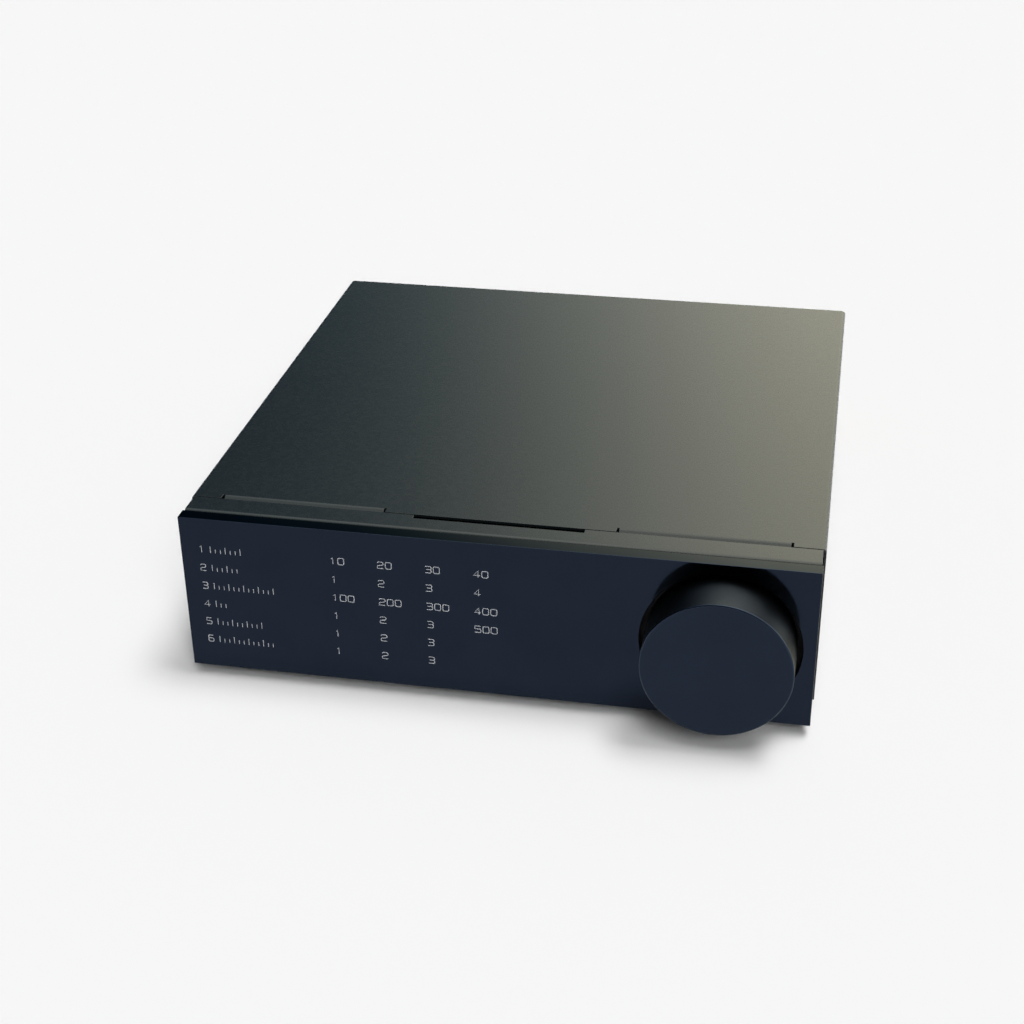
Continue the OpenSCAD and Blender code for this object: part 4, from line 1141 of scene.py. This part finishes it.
class PREAMP_OT_bare_nodes(Operator):
    """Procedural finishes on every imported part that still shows"""

    bl_idname = "preamp.bare_nodes"
    bl_label = "Inner Parts"

    def execute(self, context):
        for name, part in NODES.items():
            if not part.hide_render:
                part.data.materials.clear()
                part.data.materials.append(finish(SLOT_OF[name]))
        return {"FINISHED"}


# ---------- stage ----------

# Soft suns: azimuth from the rear to the right, height and width in degrees, and share of their light
SUNS = {
    "rear_sun": (60, 76, 20, 0.24), "right_sun": (90, 73, 20, 0.3),
    "low_sun": (155, 38, 20, 0.2), "front_sun": (165, 65, 20, 0.26),
}

# Tones of the light shell's wall by azimuth in degrees, as shares of its strength
WALL_TONES = (
    (-180, 0.03, 0.03, 0.03), (-100, 0.02, 0.025, 0.03), (-24, 0.003, 0.01, 0.02), (-18, 0.014, 0.028, 0.038),
    (-15, 0.044, 0.062, 0.066), (-12, 0.11, 0.128, 0.125), (-9, 0.19, 0.212, 0.188), (-6, 0.28, 0.288, 0.25),
    (-3, 0.4, 0.395, 0.33), (0, 0.51, 0.5, 0.4), (4, 0.59, 0.575, 0.455), (10, 0.59, 0.575, 0.455),
    (22, 0.4, 0.4, 0.33), (45, 0.42, 0.42, 0.36), (70, 0.75, 0.76, 0.7), (110, 0.75, 0.76, 0.7),
    (180, 0.03, 0.03, 0.03),
)
# Tones of its ceiling from the left to the right, and the height at which the wall turns into it
CEILING_TONES = (
    (-0.6, 0.12, 0.14, 0.15), (-0.3, 0.3, 0.34, 0.35), (-0.07, 0.62, 0.63, 0.55), (0.3, 0.87, 0.85, 0.75),
)
CEILING_FROM = (0.6, 0.85)
# Tone of its front, behind the camera
FRONT_TONE = (0.03, 0.03, 0.03, 1)


def emptied(block):
    """The shader tree of a new material or world, with nothing in it."""
    block.use_nodes = True
    block.node_tree.nodes.clear()
    return block.node_tree


class PREAMP_OT_stage(Operator):
    """Camera, pale floor and soft studio light"""

    bl_idname = "preamp.stage"
    bl_label = "Stage"

    def execute(self, context):
        stage = settings("stage")
        self.add_camera(context.scene, stage)
        self.add_floor(stage)
        self.add_suns(stage)
        self.add_shell(stage)
        self.light_world(context.scene, stage)
        context.scene.view_settings.view_transform = "Standard"
        return {"FINISHED"}

    def add_camera(self, scene, stage):
        data = bpy.data.cameras.new("camera")
        data.lens = stage.lens
        data.sensor_width = 36
        data.clip_start, data.clip_end = 0.02, 50
        camera = bpy.data.objects.new("camera", data)
        scene.collection.objects.link(camera)
        turn = Matrix.Rotation(stage.turn, 4, "Z")
        tilt = Matrix.Rotation(math.radians(90) - stage.tilt, 4, "X")
        roll = Matrix.Rotation(stage.roll, 4, "Z")
        camera.matrix_world = Matrix.Translation(stage.camera) @ turn @ tilt @ roll
        scene.camera = camera

    def add_floor(self, stage):
        """Pale floor that takes the object's shadow."""
        bpy.ops.mesh.primitive_plane_add(size=12)
        floor = named("floor")
        made = bpy.data.materials.new("pale_floor")
        tree = emptied(made)
        matt = node(tree, "BsdfDiffuse", {"Color": shaded(stage.floor)})
        node(tree, "OutputMaterial", {"Surface": matt.outputs[0]})
        floor.data.materials.append(made)

    def add_suns(self, stage):
        """Soft suns that throw the shadow, and that gloss doesn't see."""
        for name, (azimuth, height, width, part) in SUNS.items():
            azimuth, height = math.radians(azimuth), math.radians(height)
            bpy.ops.object.light_add(type="SUN")
            sun = bpy.context.object
            sun.name = name
            sun.data.energy = stage.suns * part * math.pi / math.sin(height)
            sun.data.angle = math.radians(width)
            sun.visible_glossy = False
            toward = Vector((
                math.sin(azimuth) * math.cos(height), math.cos(azimuth) * math.cos(height), math.sin(height)
            ))
            sun.matrix_world = toward.to_track_quat("Z", "Y").to_matrix().to_4x4()

    def add_shell(self, stage):
        """Half dome that only gloss sees."""
        bpy.ops.mesh.primitive_uv_sphere_add(segments=96, ring_count=48, radius=stage.shell_radius)
        shell = named("light_shell")
        edit(shell)
        bpy.ops.mesh.select_all(action="DESELECT")
        leave_edit()
        for face in shell.data.polygons:
            face.select = face.center.z < 0
        bpy.ops.object.mode_set(mode="EDIT")
        bpy.ops.mesh.delete(type="FACE")
        bpy.ops.mesh.select_all(action="SELECT")
        bpy.ops.mesh.flip_normals()
        leave_edit()
        shell.data.materials.append(self.shell_light(stage))
        for ray in ("camera", "diffuse", "transmission", "volume_scatter", "shadow"):
            setattr(shell, "visible_" + ray, False)

    def shell_light(self, stage):
        made = bpy.data.materials.new("shell_light")
        tree = emptied(made)
        way = node(tree, "VectorMath", {0: node(tree, "TexCoord").outputs["Object"]}, operation="NORMALIZE")
        right, rear, up = node(tree, "SeparateXYZ", {0: way.outputs[0]}).outputs
        degrees = maths(tree, "DIVIDE", maths(tree, "ARCTAN2", right, rear), math.radians(1))
        wall, ceiling = toned(tree, degrees, WALL_TONES), toned(tree, right, CEILING_TONES)
        both = mixed(tree, ranged(tree, up, 0, 1, *CEILING_FROM), wall, ceiling)
        whole = mixed(tree, ranged(tree, rear, 1, 0, -0.3, 0), both, FRONT_TONE)
        glow = node(tree, "Emission", {"Color": whole, "Strength": stage.shell_light})
        node(tree, "OutputMaterial", {"Surface": glow.outputs[0]})
        return made

    def light_world(self, scene, stage):
        """Even light from all round, and the pale backdrop for the rays that see it."""
        scene.world = bpy.data.worlds.new("studio")
        tree = emptied(scene.world)
        light = node(tree, "Background", {"Color": (1, 1, 1, 1), "Strength": stage.world})
        pale = node(tree, "Background", {"Color": shaded(stage.floor)})
        shaders = node(tree, "MixShader", {0: seen_ray(tree), 1: light.outputs[0], 2: pale.outputs[0]})
        node(tree, "OutputWorld", {"Surface": shaders.outputs[0]})


def seen_ray(tree):
    """One for rays from the camera, and for those that gloss and glass send on."""
    path = node(tree, "LightPath").outputs
    seen = maths(tree, "MAXIMUM", path["Is Camera Ray"], path["Is Glossy Ray"])
    return maths(tree, "MAXIMUM", seen, path["Is Transmission Ray"])


# ---------- sidebar and registration ----------

OPERATORS = (
    PREAMP_OT_front_plate, PREAMP_OT_legends, PREAMP_OT_case, PREAMP_OT_knob, PREAMP_OT_feet, PREAMP_OT_screws,
    PREAMP_OT_phono_sockets, PREAMP_OT_balanced_sockets, PREAMP_OT_mains_parts, PREAMP_OT_ground_post,
    PREAMP_OT_rear_print, PREAMP_OT_bare_nodes, PREAMP_OT_stage,
)


class PREAMP_PT_build(Panel):
    """The preamp's settings and the steps that build it"""

    bl_idname = "PREAMP_PT_build"
    bl_label = "Phono Preamp"
    bl_space_type = "VIEW_3D"
    bl_region_type = "UI"
    bl_category = "Preamp"

    def draw(self, context):
        for group in GROUPS:
            box = self.layout.box()
            for key in GROUPS[group].__annotations__:
                box.prop(getattr(context.scene, group), key)
        for operator in OPERATORS:
            self.layout.operator(operator.bl_idname)


CLASSES = (*GROUPS.values(), *OPERATORS, PREAMP_PT_build)


def register():
    for item in CLASSES:
        bpy.utils.register_class(item)
    for name, group in GROUPS.items():
        setattr(bpy.types.Scene, name, PointerProperty(type=group))


def unregister():
    for name in GROUPS:
        delattr(bpy.types.Scene, name)
    for item in reversed(CLASSES):
        bpy.utils.unregister_class(item)


def main():
    register()
    for operator in OPERATORS:
        group, name = operator.bl_idname.split(".")
        getattr(getattr(bpy.ops, group), name)()


if __name__ == "__main__":
    main()
